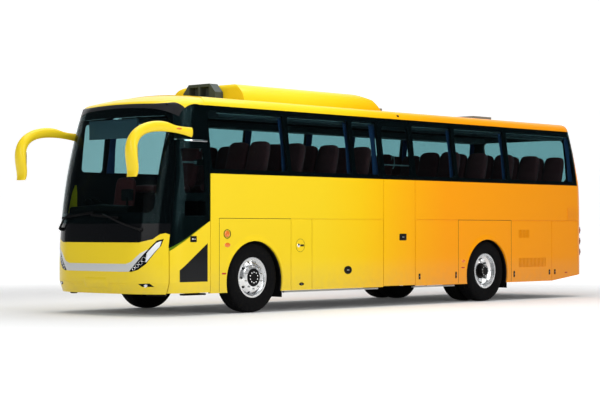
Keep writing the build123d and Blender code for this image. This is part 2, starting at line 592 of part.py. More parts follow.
hatch = hatch + block(hatch_x, (hinge_y - HINGE_NECK / 2, hinge_y + HINGE_NECK / 2),
                      (REAR_HATCH_Z[1] - HINGE_DROP, REAR_HATCH_Z[1]))
hatch = hatch + rod((hatch_x[0], hinge_y, REAR_HATCH_Z[1]), (hatch_x[1], hinge_y, REAR_HATCH_Z[1]), HINGE_BEAD)
save("rear_hatch", hatch)
save("rear_bumper", (rear_skin & block((-WIDE, WIDE), (AHEAD, ASTERN), (BELOW, REAR_BUMPER_Z - SEAT)))
     - tail_wedge() - plate_holes((REAR_Y - 2 * WALL, ASTERN)))

# Entry door: a curved leaf on two arms that turn with an upright post
DIVIDER_Z = (1640.0, 1756.0)
DOOR_PANE_LOW_Z = 1360.0
DOOR_FRAME = 60.0
ARM_LENGTH = 340.0
ARM_RADIUS = 14.0
ELBOW_SHARE = 0.59
MIDDLE_BOW = 100.0
ARM_EYE = 22.0
PIN_RADIUS = 9.0
PIN_FIT = 0.05
POST_RADIUS = 22.0
ENTRY_PIVOT = (1050.0, -1340.0)
ENTRY_ARMS_Z = (700.0, 2200.0)
MIDDLE_PIVOT = (1120.0, 3050.0)
MIDDLE_ARMS_Z = (560.0, 1900.0)
STEP_Z = 400.0
DIAGONAL_SHARES = ((0.0, 0.878, 0.546), (0.20, 0.975, 0.625), (1.0, 1.302, 1.030))


def lug(pivot, z, x_face):
    """The leaf's bracket and pin that an arm's eye turns on."""
    x, y = pivot[0], at(pivot[1]) + ARM_LENGTH
    pin = rod((x, y, z - 2 * ARM_EYE), (x, y, z + 2 * ARM_EYE), PIN_RADIUS)
    eye_y = (y - ARM_RADIUS, y + ARM_RADIUS)
    cheeks = [block((x - ARM_RADIUS, x_face), eye_y, (z + a * ARM_EYE, z + b * ARM_EYE))
              for a, b in ((-2, -1.2), (1.2, 2))]
    back = block((x + 2 * ARM_EYE, x_face), eye_y, (z - 2 * ARM_EYE, z + 2 * ARM_EYE))
    return pin + cheeks[0] + cheeks[1] + back


def door_arm(pivot, levels, foot, head, bow=0):
    """An upright post with two arms, bowed inwards; each arm ends in an eye round a pin on the leaf."""
    x, y = pivot[0], at(pivot[1])
    arm = rod((x, y, foot), (x, y, head), POST_RADIUS)
    for z in levels:
        far = y + ARM_LENGTH
        elbow = (x - bow, y + ELBOW_SHARE * ARM_LENGTH, z)
        arm = arm + rod((x, y, z), elbow, ARM_RADIUS) + rod(elbow, (x, far - ARM_RADIUS, z), ARM_RADIUS)
        arm = arm + Pos(*elbow) * Sphere(ARM_RADIUS)
        arm = arm + rod((x, far, z - ARM_EYE), (x, far, z + ARM_EYE), ARM_EYE)
        arm = arm - rod((x, far, z - 2 * ARM_EYE), (x, far, z + 2 * ARM_EYE), PIN_RADIUS + PIN_FIT)
    return arm


leaf_rear = at(DOOR_REAR) - GAP
leaf_zone = side_prism(pillar_line(DOOR_EDGE_GAP) + [(leaf_rear, ABOVE), (leaf_rear, BELOW)],
                       0, WIDE) & block((0, WIDE), (AHEAD, ASTERN), (DOOR_LOW_Z, DOOR_TOP_Z))
leaf_zone = leaf_zone & block((HALF - 6 * WALL, WIDE), (AHEAD, ASTERN), (BELOW, ABOVE))
leaf = NOSE_SKIN & leaf_zone
door_length = DOOR_REAR - DOOR_FRONT_LOW
upper_edge = [(at(DOOR_FRONT_LOW) + door_length * t, MASK_Z * high) for t, high, low in DIAGONAL_SHARES]
lower_edge = [(at(DOOR_FRONT_LOW) + door_length * t, MASK_Z * low) for t, high, low in DIAGONAL_SHARES]
above_edge = [(at(DOOR_REAR), ABOVE), (AHEAD, ABOVE), (AHEAD, upper_edge[0][1])]
dark_upper = side_prism(upper_edge + above_edge, 0, WIDE)
dark_lower = side_prism([(lower_edge[1][0], TUCK_Z + GAP)] + lower_edge[1:]
                        + [(at(DOOR_REAR) - DOOR_FRAME, lower_edge[2][1]),
                           (at(DOOR_REAR) - DOOR_FRAME, TUCK_Z + GAP)],
                        0, WIDE)
leaf = leaf - (NOSE_REBATE & leaf_zone & dark_upper) - (NOSE_REBATE & leaf_zone & dark_lower)
clear_y = (at(DOOR_FRONT_TOP) + DOOR_FRAME, at(DOOR_REAR) - 1.5 * DOOR_FRAME)
for low, high in ((DIVIDER_Z[1], DOOR_TOP_Z - 2 * DOOR_FRAME), (DOOR_PANE_LOW_Z + DOOR_FRAME, DIVIDER_Z[0])):
    leaf = leaf - side_window(clear_y, (low, high), WINDOW_ROUND / 2, (HALF - 6 * WALL, WIDE))
for z in ENTRY_ARMS_Z:
    leaf = leaf + lug(ENTRY_PIVOT, z, half_width(z) - WALL + GAP)
save("entry_door_leaf", leaf)
save("entry_door_glass", NOSE_PANES & leaf_zone & dark_upper, NOSE_PANES & leaf_zone & dark_lower)
save("entry_door_arm", door_arm(ENTRY_PIVOT, ENTRY_ARMS_Z, STEP_Z + SEAT, DOOR_TOP_Z - 2 * DOOR_FRAME))

middle_leaf_zone = block((0, WIDE), (at(MIDDLE_FRONT) + GAP, at(MIDDLE_REAR) - GAP),
                         (DOOR_LOW_Z, MIDDLE_TOP_Z))
middle_leaf = (TAIL_SKIN & middle_leaf_zone) - (TAIL_REBATE & band_all)
middle_leaf = middle_leaf - side_window((at(MIDDLE_FRONT) + DOOR_FRAME + GAP, at(MIDDLE_REAR) - DOOR_FRAME - GAP),
                                        (WINDOW_LOW_Z, WINDOW_HIGH_Z - DOOR_FRAME), WINDOW_ROUND, (0, WIDE))
for z in MIDDLE_ARMS_Z:
    middle_leaf = middle_leaf + lug(MIDDLE_PIVOT, z, HALF - WALL + GAP)
save("middle_door_leaf", middle_leaf)
save("middle_door_glass", TAIL_PANES & middle_leaf_zone & band_all)
save("middle_door_arm", door_arm(MIDDLE_PIVOT, MIDDLE_ARMS_Z, STEP_Z + SEAT,
                                 MIDDLE_ARMS_Z[1] + 3 * DOOR_FRAME, MIDDLE_BOW))

# Floors, steps and the frame beneath
FLOOR_Z = WAIST_Z + SEAT
FLOOR_THICK = 40.0
PLATFORM_Z = 900.0
PLATFORM_FRONT = -1500.0
WELL_X = HALF - 800.0
ENTRY_WELL_X = HALF - 900.0
PLATE = 20.0
TREAD_RISES = 3
INSIDE = HALF - WALL - SEAT
RAIL_X = (430.0, 500.0)
RAIL_START = -1300.0
RAIL_LOW_Z = 360.0
RAIL_DEPTH = 160.0
BAY_FLOOR_Z = RAIL_LOW_Z + RAIL_DEPTH + SEAT
RAIL_KICK_Z = 700.0
RIGHT_POST = 1900.0
KICK_HALF = 640.0
KICK_RUN = 240.0
FRAME_WIDTH = 45.0
CROSS = 60.0


def stairs(x_out, x_in, y, base, top, thick):
    """Treads and risers that climb inwards from the doorway."""
    upper, lower = [], []
    rise = (top - base) / TREAD_RISES
    run = (x_out - x_in) / TREAD_RISES
    for i in range(TREAD_RISES):
        upper += [(x_out - i * run, base + i * rise), (x_out - (i + 1) * run, base + i * rise)]
        lower += [(x_out - i * run - (thick if i else 0), base + i * rise - thick),
                  (x_out - (i + 1) * run - thick, base + i * rise - thick)]
    upper.append((x_in, top))
    upper.append((x_in - thick, top))
    return front_prism(upper + lower[::-1], y[0], y[1])


floor_front = at(POST) + PLATE
floor = block((-INSIDE, INSIDE), (floor_front, at(CORNER_SEAM) - WALL), (FLOOR_Z, FLOOR_Z + FLOOR_THICK))
well_y = (at(MIDDLE_FRONT) - PLATE, at(MIDDLE_REAR) + PLATE)
floor = floor - block((WELL_X, WIDE), well_y, (BELOW, ABOVE))
entry_y = (at(ENTRY_PIVOT[1]) - 2 * POST_RADIUS, at(DOOR_REAR) + PLATE)
entry_steps = stairs(HALF - WALL - 2 * GAP, ENTRY_WELL_X, entry_y, STEP_Z, PLATFORM_Z, PLATE)
middle_steps = stairs(HALF - WALL - GAP, WELL_X + PLATE, (at(MIDDLE_FRONT), at(MIDDLE_REAR)), STEP_Z,
                      FLOOR_Z - SEAT, PLATE)
save("steps", entry_steps, middle_steps)
platform = block((-HALF + WALL + 3 * WALL, ENTRY_WELL_X - PLATE - SEAT), (at(PLATFORM_FRONT), at(POST)),
                 (PLATFORM_Z - PLATE, PLATFORM_Z))
bulkhead = block((-FRAME_X, INSIDE - 2 * WALL), (at(POST), at(POST) + PLATE - SEAT),
                 (PLATFORM_Z - PLATE, FLOOR_Z + FLOOR_THICK))
save("driver_platform", platform + bulkhead)


def rail(x):
    """A longitudinal that kicks up over each axle."""
    low, deep = RAIL_LOW_Z, RAIL_DEPTH
    path = [(at(RAIL_START), low)]
    for axle in (FRONT_AXLE_Y, REAR_AXLE_Y):
        path += [(axle - KICK_HALF - KICK_RUN, low), (axle - KICK_HALF, RAIL_KICK_Z),
                 (axle + KICK_HALF, RAIL_KICK_Z), (axle + KICK_HALF + KICK_RUN, low)]
    path[-1] = (path[-1][0], low + CROSS)
    path.append((at(CORNER_SEAM), low + CROSS))
    return side_prism(path + [(y, z + deep) for y, z in reversed(path)], min(x), max(x))


JACK_STATIONS = (1500.0, 4300.0)
JACK_HALF = 60.0
JACK_THICK = 15.0


def jacking_pad(station, side):
    """A thick plate under a rail, where a lift's head bears."""
    x = side * (RAIL_X[0] + RAIL_X[1]) / 2
    return block((x - JACK_HALF, x + JACK_HALF), (at(station) - JACK_HALF, at(station) + JACK_HALF),
                 (RAIL_LOW_Z - JACK_THICK, RAIL_LOW_Z))


chassis = rail(RAIL_X) + rail((-RAIL_X[1], -RAIL_X[0]))
for side in (1, -1):
    for seam in (ARCH_REAR_SEAM, NARROW_REAR if side > 0 else RIGHT_POST, MIDDLE_FRONT, BAY_REAR, REAR_ARCH_SEAM,
                 LOUVRE_REAR):
        y = (at(seam) - FRAME_WIDTH / 2, at(seam) + FRAME_WIDTH / 2)
        if seam == ARCH_REAR_SEAM:
            y = (y[0] + 2 * FRAME_WIDTH, y[1] + 2 * FRAME_WIDTH)
        if seam == BAY_REAR:
            y = (y[0] - FRAME_WIDTH, y[1] - FRAME_WIDTH)
        if seam == REAR_ARCH_SEAM:
            y = (y[0] + 2 * FRAME_WIDTH, y[1] + 2 * FRAME_WIDTH)
        if side > 0 and seam == MIDDLE_FRONT:
            y = (y[0] - FRAME_WIDTH, y[1] - FRAME_WIDTH)
        outrigger_z = (BAY_FLOOR_Z - SEAT - CROSS, BAY_FLOOR_Z - SEAT)
        chassis = chassis + block((side * RAIL_X[0], side * FRAME_X), y, outrigger_z)
        x = (side * (FRAME_X - FRAME_WIDTH), side * FRAME_X)
        chassis = chassis + block(x, y, (outrigger_z[0], WAIST_Z))
for station in JACK_STATIONS:
    chassis = chassis + jacking_pad(station, 1) + jacking_pad(station, -1)
save("chassis_frame", chassis)
bay = block((-FRAME_X + FRAME_WIDTH + GAP, FRAME_X - FRAME_WIDTH - GAP), (at(ARCH_REAR_SEAM) + 3 * FRAME_WIDTH,
            at(BAY_REAR) - 2 * FRAME_WIDTH), (BAY_FLOOR_Z, BAY_FLOOR_Z + PLATE))
bay = bay - block((WELL_X - 3 * PLATE, WIDE), well_y, (BELOW, ABOVE))
save("floors", floor, bay)
BATTERY_HALF = 1100.0
BATTERY_STATIONS = (6620.0, 8350.0)
BATTERY_TOP = 1330.0
battery = block((-BATTERY_HALF, BATTERY_HALF), (at(BATTERY_STATIONS[0]), at(BATTERY_STATIONS[1])),
                (RAIL_LOW_Z + RAIL_DEPTH + CROSS + SEAT, BATTERY_TOP))

# Axles
KINGPIN_X = 970.0
KINGPIN_RADIUS = 22.0
EYE_RADIUS = 55.0
EYE_HALF = 55.0
YOKE_GAP = 0.5
YOKE_THICK = 30.0
SPINDLE_RADIUS = 38.0
SPINDLE_REACH = 110.0
REAR_SPINDLE_REACH = 60.0
AXLE_TUBE_HALF = 560.0
FIT = 0.05
AXLE_Z = TYRE_RADIUS
BEAM_Z = (360.0, 440.0)
BEAM_HALF = 45.0
BEAM_REACH = 620.0
RISE_X = 560.0
AXLE_TUBE = 80.0
DIFF_RADIUS = 190.0
SPRING_RADIUS = 120.0
beam = block((-BEAM_REACH, BEAM_REACH), (FRONT_AXLE_Y - BEAM_HALF, FRONT_AXLE_Y + BEAM_HALF), BEAM_Z)
for side in (1, -1):
    reach = side * (KINGPIN_X - 1.5 * EYE_RADIUS)
    rise = front_prism([(side * RISE_X, BEAM_Z[0]), (reach, AXLE_Z - EYE_HALF),
                        (side * (KINGPIN_X - EYE_RADIUS / 2), AXLE_Z - EYE_HALF),
                        (side * (KINGPIN_X - EYE_RADIUS / 2), AXLE_Z + EYE_HALF), (reach, AXLE_Z + EYE_HALF),
                        (side * RISE_X, BEAM_Z[1])], FRONT_AXLE_Y - BEAM_HALF, FRONT_AXLE_Y + BEAM_HALF)
    eye = rod((side * KINGPIN_X, FRONT_AXLE_Y, AXLE_Z - EYE_HALF),
              (side * KINGPIN_X, FRONT_AXLE_Y, AXLE_Z + EYE_HALF),
              EYE_RADIUS)
    hole = rod((side * KINGPIN_X, FRONT_AXLE_Y, AXLE_Z - 2 * EYE_HALF),
               (side * KINGPIN_X, FRONT_AXLE_Y, AXLE_Z + 2 * EYE_HALF), KINGPIN_RADIUS + FIT)
    beam = beam + rise + eye - hole
save("front_axle", beam)
for name, side in (("knuckle_left", 1), ("knuckle_right", -1)):
    x = side * KINGPIN_X
    pin = rod((x, FRONT_AXLE_Y, AXLE_Z - EYE_HALF - YOKE_THICK),
              (x, FRONT_AXLE_Y, AXLE_Z + EYE_HALF + YOKE_THICK),
              KINGPIN_RADIUS)
    web_x = x + side * (EYE_RADIUS + 2 * FRAME_GAP)
    yoke = block((web_x, web_x + side * YOKE_THICK), (FRONT_AXLE_Y - BEAM_HALF, FRONT_AXLE_Y + BEAM_HALF),
                 (AXLE_Z - EYE_HALF - YOKE_THICK, AXLE_Z + EYE_HALF + YOKE_THICK))
    for z in (AXLE_Z - EYE_HALF - YOKE_GAP - YOKE_THICK, AXLE_Z + EYE_HALF + YOKE_GAP):
        yoke = yoke + block((x, web_x), (FRONT_AXLE_Y - BEAM_HALF, FRONT_AXLE_Y + BEAM_HALF),
                            (z, z + YOKE_THICK))
        yoke = yoke + rod((x, FRONT_AXLE_Y, z), (x, FRONT_AXLE_Y, z + YOKE_THICK), BEAM_HALF)
    tip_x = side * (WHEEL_X + SPINDLE_REACH)
    spindle = rod((web_x, FRONT_AXLE_Y, AXLE_Z), (tip_x, FRONT_AXLE_Y, AXLE_Z), SPINDLE_RADIUS)
    save(name, pin + yoke + spindle)
rear_reach = WHEEL_X + REAR_SPINDLE_REACH
rear_axle = rod((-rear_reach, REAR_AXLE_Y, AXLE_Z), (rear_reach, REAR_AXLE_Y, AXLE_Z), SPINDLE_RADIUS)
rear_axle = rear_axle + rod((-AXLE_TUBE_HALF, REAR_AXLE_Y, AXLE_Z), (AXLE_TUBE_HALF, REAR_AXLE_Y, AXLE_Z),
                            AXLE_TUBE)
bulge = Pos(0, REAR_AXLE_Y, AXLE_Z) * turned([(-DIFF_RADIUS * 1.6, 0), (-DIFF_RADIUS * 1.6, AXLE_TUBE),
    (-DIFF_RADIUS * 0.7, DIFF_RADIUS), (DIFF_RADIUS * 0.7, DIFF_RADIUS), (DIFF_RADIUS * 1.6, AXLE_TUBE),
    (DIFF_RADIUS * 1.6, 0)])
rear_axle = rear_axle + bulge
save("rear_axle", rear_axle)
MOTOR_STATIONS = (6000.0, 6340.0)
MOTOR_Y = (at(MOTOR_STATIONS[0]), at(MOTOR_STATIONS[1]))
motor = rod((0, MOTOR_Y[0], AXLE_Z), (0, MOTOR_Y[1], AXLE_Z), DIFF_RADIUS)
shaft = rod((0, REAR_AXLE_Y + DIFF_RADIUS + SEAT, AXLE_Z), (0, MOTOR_Y[0], AXLE_Z), CROSS)
save("battery_and_motor", battery, motor + shaft)
springs = []
for axle, low in ((FRONT_AXLE_Y, BEAM_Z[1]), (REAR_AXLE_Y, AXLE_Z + AXLE_TUBE)):
    for side in (1, -1):
        x = side * (RAIL_X[0] + RAIL_X[1]) / 2
        springs.append(rod((x, axle, low + SEAT), (x, axle, RAIL_KICK_Z - SEAT), SPRING_RADIUS * 0.7))
save("air_springs", *springs)

# Wheels: one rim outline and one tyre outline, each turned about the axle
HUB_RADIUS = 135.0
HUB_NOSE_RADIUS = 95.0
BORE_RADIUS = 134.0
BARREL = 12.0
DISC_THICK = 16.0
HAND_HOLES = 10
HAND_HOLE_RADIUS = 20.0
HAND_RING = 232.0
REAR_HAND_RING = 215.0
TYRE_SHOULDER = 60.0
FRONT_DISC = ((85.0, 274.0), (104.0, 247.0), (132.0, 216.0), (146.0, 197.0), (149.0, 134.0))
REAR_DISC = ((45.0, 274.0), (16.0, 240.0), (-34.0, 200.0), (-56.0, 188.0), (-62.0, 134.0))
INNER_DISC = ((113.0, 274.0), (113.0, 134.0))


def rim_outline(disc):
    """A rim's profile in (x from its centre plane, r): barrel with flanges, and a dished disc."""
    edge, seat, lip = RIM_WIDTH / 2, BEAD_RADIUS - 2 * SEAT, RIM_RADIUS
    inner = seat - BARREL
    outer_face = [(x, min(r, inner)) for x, r in disc]
    inner_face = [(x - DISC_THICK, r) for x, r in outer_face]
    return [(-edge, inner)] + inner_face + outer_face[::-1] + [
        (edge, inner), (edge, lip), (edge - BARREL, lip), (edge - BARREL, seat), (-edge + BARREL, seat),
        (-edge + BARREL, lip), (-edge, lip)]


def rim(x, y, side, disc, ring=HAND_RING):
    shape = Pos(x, y, AXLE_Z) * turned(rim_outline(disc), side)
    for i in range(HAND_HOLES):
        angle = 2 * pi * i / HAND_HOLES
        hy, hz = y + ring * cos(angle), AXLE_Z + ring * sin(angle)
        shape = shape - rod((x - side * RIM_WIDTH / 2, hy, hz), (x + side * RIM_WIDTH, hy, hz),
                            HAND_HOLE_RADIUS)
    return shape


def hub(y, side, inner_x, shoulder_x, nose_x, bore_end):
    """A round hub with a smaller nose, bored for the spindle."""
    shape = rod((side * inner_x, y, AXLE_Z), (side * shoulder_x, y, AXLE_Z), HUB_RADIUS)
    shape = shape + rod((side * (shoulder_x - GAP), y, AXLE_Z), (side * nose_x, y, AXLE_Z), HUB_NOSE_RADIUS)
    return shape - rod((side * (inner_x - GAP), y, AXLE_Z), (side * bore_end, y, AXLE_Z), SPINDLE_RADIUS + FIT)


def tyre(x, y):
    """A casing with round shoulders, turned about the axle."""
    half, low, high = TYRE_WIDTH / 2, BEAD_RADIUS, TYRE_RADIUS
    bead = RIM_WIDTH / 2 - BARREL - SEAT
    belly = (low + high) / 2
    lip = RIM_RADIUS + SEAT
    face = Face(Wire([
        Line((-bead, 0, low), (bead, 0, low)), Line((bead, 0, low), (bead, 0, lip)),
        ThreePointArc((bead, 0, lip), (half - 6 * SEAT, 0, (lip + belly) / 2), (half, 0, belly)),
        ThreePointArc((half, 0, belly), (half - 10 * SEAT, 0, high - TYRE_SHOULDER),
                      (half - TYRE_SHOULDER / 2, 0, high - GAP)),
        ThreePointArc((half - TYRE_SHOULDER / 2, 0, high - GAP), (0, 0, high),
                      (-half + TYRE_SHOULDER / 2, 0, high - GAP)),
        ThreePointArc((-half + TYRE_SHOULDER / 2, 0, high - GAP), (-half + 10 * SEAT, 0, high - TYRE_SHOULDER),
                      (-half, 0, belly)),
        ThreePointArc((-half, 0, belly), (-half + 6 * SEAT, 0, (lip + belly) / 2), (-bead, 0, lip)),
        Line((-bead, 0, lip), (-bead, 0, low))]))
    return Pos(x, y, AXLE_Z) * revolve(face, Axis.X, 360)


FRONT_SHOULDER = 132.0
HUB_NOSE = 150.0
FRONT_BORE = 112.0
REAR_SHOULDER = 30.0
REAR_NOSE = 120.0
REAR_BORE = 62.0
for name, side in (("left", 1), ("right", -1)):
    wheel = rim(side * WHEEL_X, FRONT_AXLE_Y, side, FRONT_DISC)
    wheel = wheel + hub(FRONT_AXLE_Y, side, KINGPIN_X + EYE_RADIUS + 2 * FRAME_GAP + YOKE_THICK + GAP,
                        WHEEL_X + FRONT_SHOULDER, WHEEL_X + HUB_NOSE, WHEEL_X + FRONT_BORE)
    save(f"front_rim_{name}", wheel)
    save(f"front_tyre_{name}", tyre(side * WHEEL_X, FRONT_AXLE_Y))
    inner_x = WHEEL_X - TWIN_PITCH
    twin = rim(side * WHEEL_X, REAR_AXLE_Y, side, REAR_DISC, REAR_HAND_RING)
    twin = twin + rim(side * inner_x, REAR_AXLE_Y, side, INNER_DISC)
    twin = twin + hub(REAR_AXLE_Y, side, inner_x, WHEEL_X + REAR_SHOULDER, WHEEL_X + REAR_NOSE,
                      WHEEL_X + REAR_BORE)
    save(f"rear_rims_{name}", twin)
    save(f"rear_tyres_{name}", tyre(side * WHEEL_X, REAR_AXLE_Y), tyre(side * inner_x, REAR_AXLE_Y))

LINER = 12.0
LINER_SWELL = 32.0
LINER_X = 560.0
MUDFLAP_Z = 215.0
liners = []
for axle in (FRONT_AXLE_Y, REAR_AXLE_Y):
    for side in (1, -1):
        tube = rod((side * LINER_X, axle, ARCH_Z), (side * FRAME_X, axle, ARCH_Z),
                   ARCH_RADIUS + LINER_SWELL + LINER, ARCH_RADIUS + LINER_SWELL)
        liner = tube & block((-WIDE, WIDE), (AHEAD, ASTERN), (ARCH_Z, ABOVE))
        behind = axle + ARCH_RADIUS + LINER_SWELL
        mudflap = block((side * LINER_X, side * FRAME_X), (behind, behind + LINER), (MUDFLAP_Z, ARCH_Z))
        liners.append(liner + mudflap)
save("wheel_arch_liners", *liners)

# On the roof: hatches, a cooling unit and its fairing
for name, station in zip(("roof_hatch_front", "roof_hatch_rear"), HATCH_STATIONS):
    half, hinge = HATCH_SIZE / 2, (at(station) - HATCH_SIZE / 2 + HATCH_HINGE, ROOF_TOP + SEAT + HATCH_HINGE)
    lid = block((-half, half), (hinge[0], at(station) + half), (ROOF_TOP + SEAT, ROOF_TOP + HATCH_HEIGHT))
    save(name, lid + rod((-half, *hinge), (half, *hinge), HATCH_HINGE))
AC_Y = (258.0, 3500.0)
AC_HALF = 800.0
AC_FLAT = 500.0
AC_TOP = 3452.0
AC_NOSE = 90.0
AC_SLOPE = (3030.0, 3340.0)
AC_SLOPE_Z = 3360.0
EAVE_Z = ROOF_TOP - 1.5 * ROUNDED


def fairing_side():
    """The fairing from the side: a rounded nose, a level top and a tail that slopes down to the roof."""
    nose, top = Vector(-WIDE, at(AC_Y[0]), AC_TOP - AC_NOSE), Vector(-WIDE, at(AC_Y[0]) + AC_NOSE, AC_TOP)
    bend = Vector(-WIDE, nose.Y + AC_NOSE * (1 - cos(pi / 4)), nose.Z + AC_NOSE * sin(pi / 4))
    knee, drop = Vector(-WIDE, at(AC_SLOPE[0]), AC_TOP), Vector(-WIDE, at(AC_SLOPE[1]), AC_SLOPE_Z)
    foot, heel = Vector(-WIDE, at(AC_Y[1]), EAVE_Z), Vector(-WIDE, at(AC_Y[0]), EAVE_Z)
    face = Face(Wire([Line(heel, nose), ThreePointArc(nose, bend, top), Line(top, knee), Line(knee, drop),
                      Line(drop, foot), Line(foot, heel)]))
    return extrude(face, amount=2 * WIDE, dir=(1, 0, 0))


def fairing_front():
    """The fairing from the front: flat on top, with a long round shoulder down each side."""
    rise, run = AC_TOP - EAVE_Z, AC_HALF - AC_FLAT
    y, mid_x, mid_z = at(AC_Y[0]), AC_FLAT + run * sin(pi / 4), EAVE_Z + rise * cos(pi / 4)
    face = Face(Wire([
        Line((-AC_HALF, y, EAVE_Z), (AC_HALF, y, EAVE_Z)),
        ThreePointArc((AC_HALF, y, EAVE_Z), (mid_x, y, mid_z), (AC_FLAT, y, AC_TOP)),
        Line((AC_FLAT, y, AC_TOP), (-AC_FLAT, y, AC_TOP)),
        ThreePointArc((-AC_FLAT, y, AC_TOP), (-mid_x, y, mid_z), (-AC_HALF, y, EAVE_Z))]))
    return extrude(face, amount=AC_Y[1] - AC_Y[0], dir=(0, 1, 0))


fairing = fairing_side() & fairing_front()
save("roof_fairing", fairing - CROWN_CUT)
UNIT_Y = (80.0, 250.0)
UNIT_HALF = 350.0
UNIT_TOP_HALF = 230.0
UNIT_TOP = 3462.0
UNIT_KNEE_Z = 3330.0
VENTS = ((-220.0, -20.0), (20.0, 220.0))
unit = front_prism([(-UNIT_HALF, EAVE_Z), (UNIT_HALF, EAVE_Z), (UNIT_HALF, UNIT_KNEE_Z), (UNIT_TOP_HALF, UNIT_TOP),
                    (-UNIT_TOP_HALF, UNIT_TOP), (-UNIT_HALF, UNIT_KNEE_Z)], at(UNIT_Y[0]), at(UNIT_Y[1]))
for left, right in VENTS:
    unit = unit - block((left, right), (at(UNIT_Y[0]) - GAP, at(UNIT_Y[1]) - WALL),
                        (ROOF_TOP + WALL, UNIT_TOP - WALL))
save("roof_unit", unit - CROWN_CUT)

# Mirrors: horns that reach forward from the header and hang down; columns are y, z, half height, half depth
HORN_X = 1225.0
HORN = ((-1250.0, 2620.0, 0.0, 70.0, 34.0), (-1750.0, 2680.0, 0.0, 70.0, 40.0), (-2130.0, 2640.0, 25.0, 75.0, 50.0),
        (-2360.0, 2470.0, 65.0, 80.0, 80.0), (-2391.0, 2250.0, 88.0, 62.0, 110.0),
        (-2386.0, 1960.0, 92.0, 45.0, 90.0))
horns = []
for side in (1, -1):
    rings = []
    for station, z, dip, tall, wide in HORN:
        a = radians(dip)
        plane = Plane(origin=(side * HORN_X, at(station), z), x_dir=(1, 0, 0), z_dir=(0, -cos(a), -sin(a)))
        rings.append(plane * Ellipse(wide, tall))
    horns.append(loft([Sketch() + ring for ring in rings]) - NOSE_CUT)
save("mirrors", *horns)

# Inside: seats in pairs, dashboard, driver's seat
SEAT_PITCH = 780.0
FIRST_ROW = -250.0
SEAT_ROWS = 11
SEAT_X = (300.0, 1180.0)
CUSHION_Z = (380.0, 500.0)
BACK_Z = 1130.0
SEAT_DEPTH = 470.0
BACK_DEPTH = 130.0
RECLINE = 170.0
base = FLOOR_Z + FLOOR_THICK
seats = []
DRIVER_X = (-960.0, -500.0)
DRIVER_FRONT = -1300.0
DRIVER_DEPTH = 400.0
DRIVER_RECLINE = 90.0


def bench(y, floor_z, x, depth, recline):
    """A cushion on a narrow foot, with a back that leans."""
    rear = y + depth
    profile = [(y, floor_z + CUSHION_Z[0]), (y + BACK_DEPTH, floor_z + SEAT), (rear - BACK_DEPTH, floor_z + SEAT),
               (rear, floor_z + CUSHION_Z[0]), (rear + BACK_DEPTH, floor_z + CUSHION_Z[0]),
               (rear + BACK_DEPTH + recline, floor_z + BACK_Z), (rear + recline, floor_z + BACK_Z),
               (rear, floor_z + CUSHION_Z[1]), (y, floor_z + CUSHION_Z[1])]
    return side_prism(profile, min(x), max(x))


for row in range(SEAT_ROWS):
    station = FIRST_ROW + row * SEAT_PITCH
    for side in (1, -1):
        if side > 0 and MIDDLE_FRONT - SEAT_PITCH < station < MIDDLE_REAR:
            continue
        seats.append(bench(at(station), base, (side * SEAT_X[0], side * SEAT_X[1]), SEAT_DEPTH, RECLINE))
seats.append(bench(at(DRIVER_FRONT), PLATFORM_Z, DRIVER_X, DRIVER_DEPTH, DRIVER_RECLINE))
save("passenger_seats", *seats)
DASH_Z = 1480.0
DASH_X = (-880.0, 860.0)
DASH_STATIONS = (-1700.0, -1640.0, -1450.0, -1380.0, -1350.0)
top, toe, foot, lip, edge = (at(station) for station in DASH_STATIONS)
dash = side_prism([(toe, PLATFORM_Z + WALL), (foot, PLATFORM_Z + SEAT), (edge, DASH_Z - 3 * WALL),
                   (lip, DASH_Z - WALL), (top, DASH_Z)], *DASH_X)
save("dashboard", dash & nose[WALL])
print(len(NODES), "nodes")
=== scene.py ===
# %% [markdown]
# # Dressing an electric touring coach
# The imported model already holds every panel, pane, wheel and hinge of the coach at its real size. This lesson gives
# it its looks: the faded yellow paint, tinted glass, tread, lamps, wipers, seats and curtains. Everything is in
# metres in the model's own frame: the coach faces -Y, +X is its own left, and the road is at z = 0.

# %% Load the frame
import json
from math import pi, radians

import bmesh
import bpy
import numpy as np
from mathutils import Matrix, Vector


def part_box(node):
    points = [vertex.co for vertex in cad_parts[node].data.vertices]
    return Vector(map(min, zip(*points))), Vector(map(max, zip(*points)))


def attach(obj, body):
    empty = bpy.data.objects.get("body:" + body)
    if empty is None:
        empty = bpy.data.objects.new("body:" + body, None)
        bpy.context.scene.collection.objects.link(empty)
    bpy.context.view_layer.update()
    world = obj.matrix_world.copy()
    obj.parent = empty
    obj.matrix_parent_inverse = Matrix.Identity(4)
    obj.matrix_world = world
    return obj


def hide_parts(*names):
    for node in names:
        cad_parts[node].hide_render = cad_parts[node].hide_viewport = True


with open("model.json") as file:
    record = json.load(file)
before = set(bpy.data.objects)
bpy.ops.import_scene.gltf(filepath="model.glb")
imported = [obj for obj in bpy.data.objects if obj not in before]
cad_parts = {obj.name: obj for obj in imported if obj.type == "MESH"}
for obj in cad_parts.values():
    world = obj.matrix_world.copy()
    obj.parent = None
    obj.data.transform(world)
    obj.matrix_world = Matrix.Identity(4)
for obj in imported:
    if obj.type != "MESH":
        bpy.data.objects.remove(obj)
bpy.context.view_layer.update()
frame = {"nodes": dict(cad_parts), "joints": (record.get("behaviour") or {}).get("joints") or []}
hinge = {joint["name"]: joint["pos_m"] for joint in frame["joints"]}
FRONT_AXLE = hinge["wheel_front_left"][1]
REAR_AXLE = hinge["wheel_rear_left"][1]
WHEEL_X, _, AXLE_HEIGHT = hinge["wheel_front_left"]

# %% [markdown]
# ## The camera
# The photograph was taken from a person's height, far away with a long lens, off the coach's front left corner.
# Place, turn and focal length were solved from points that could be measured on the coach, such as the wheel centres.

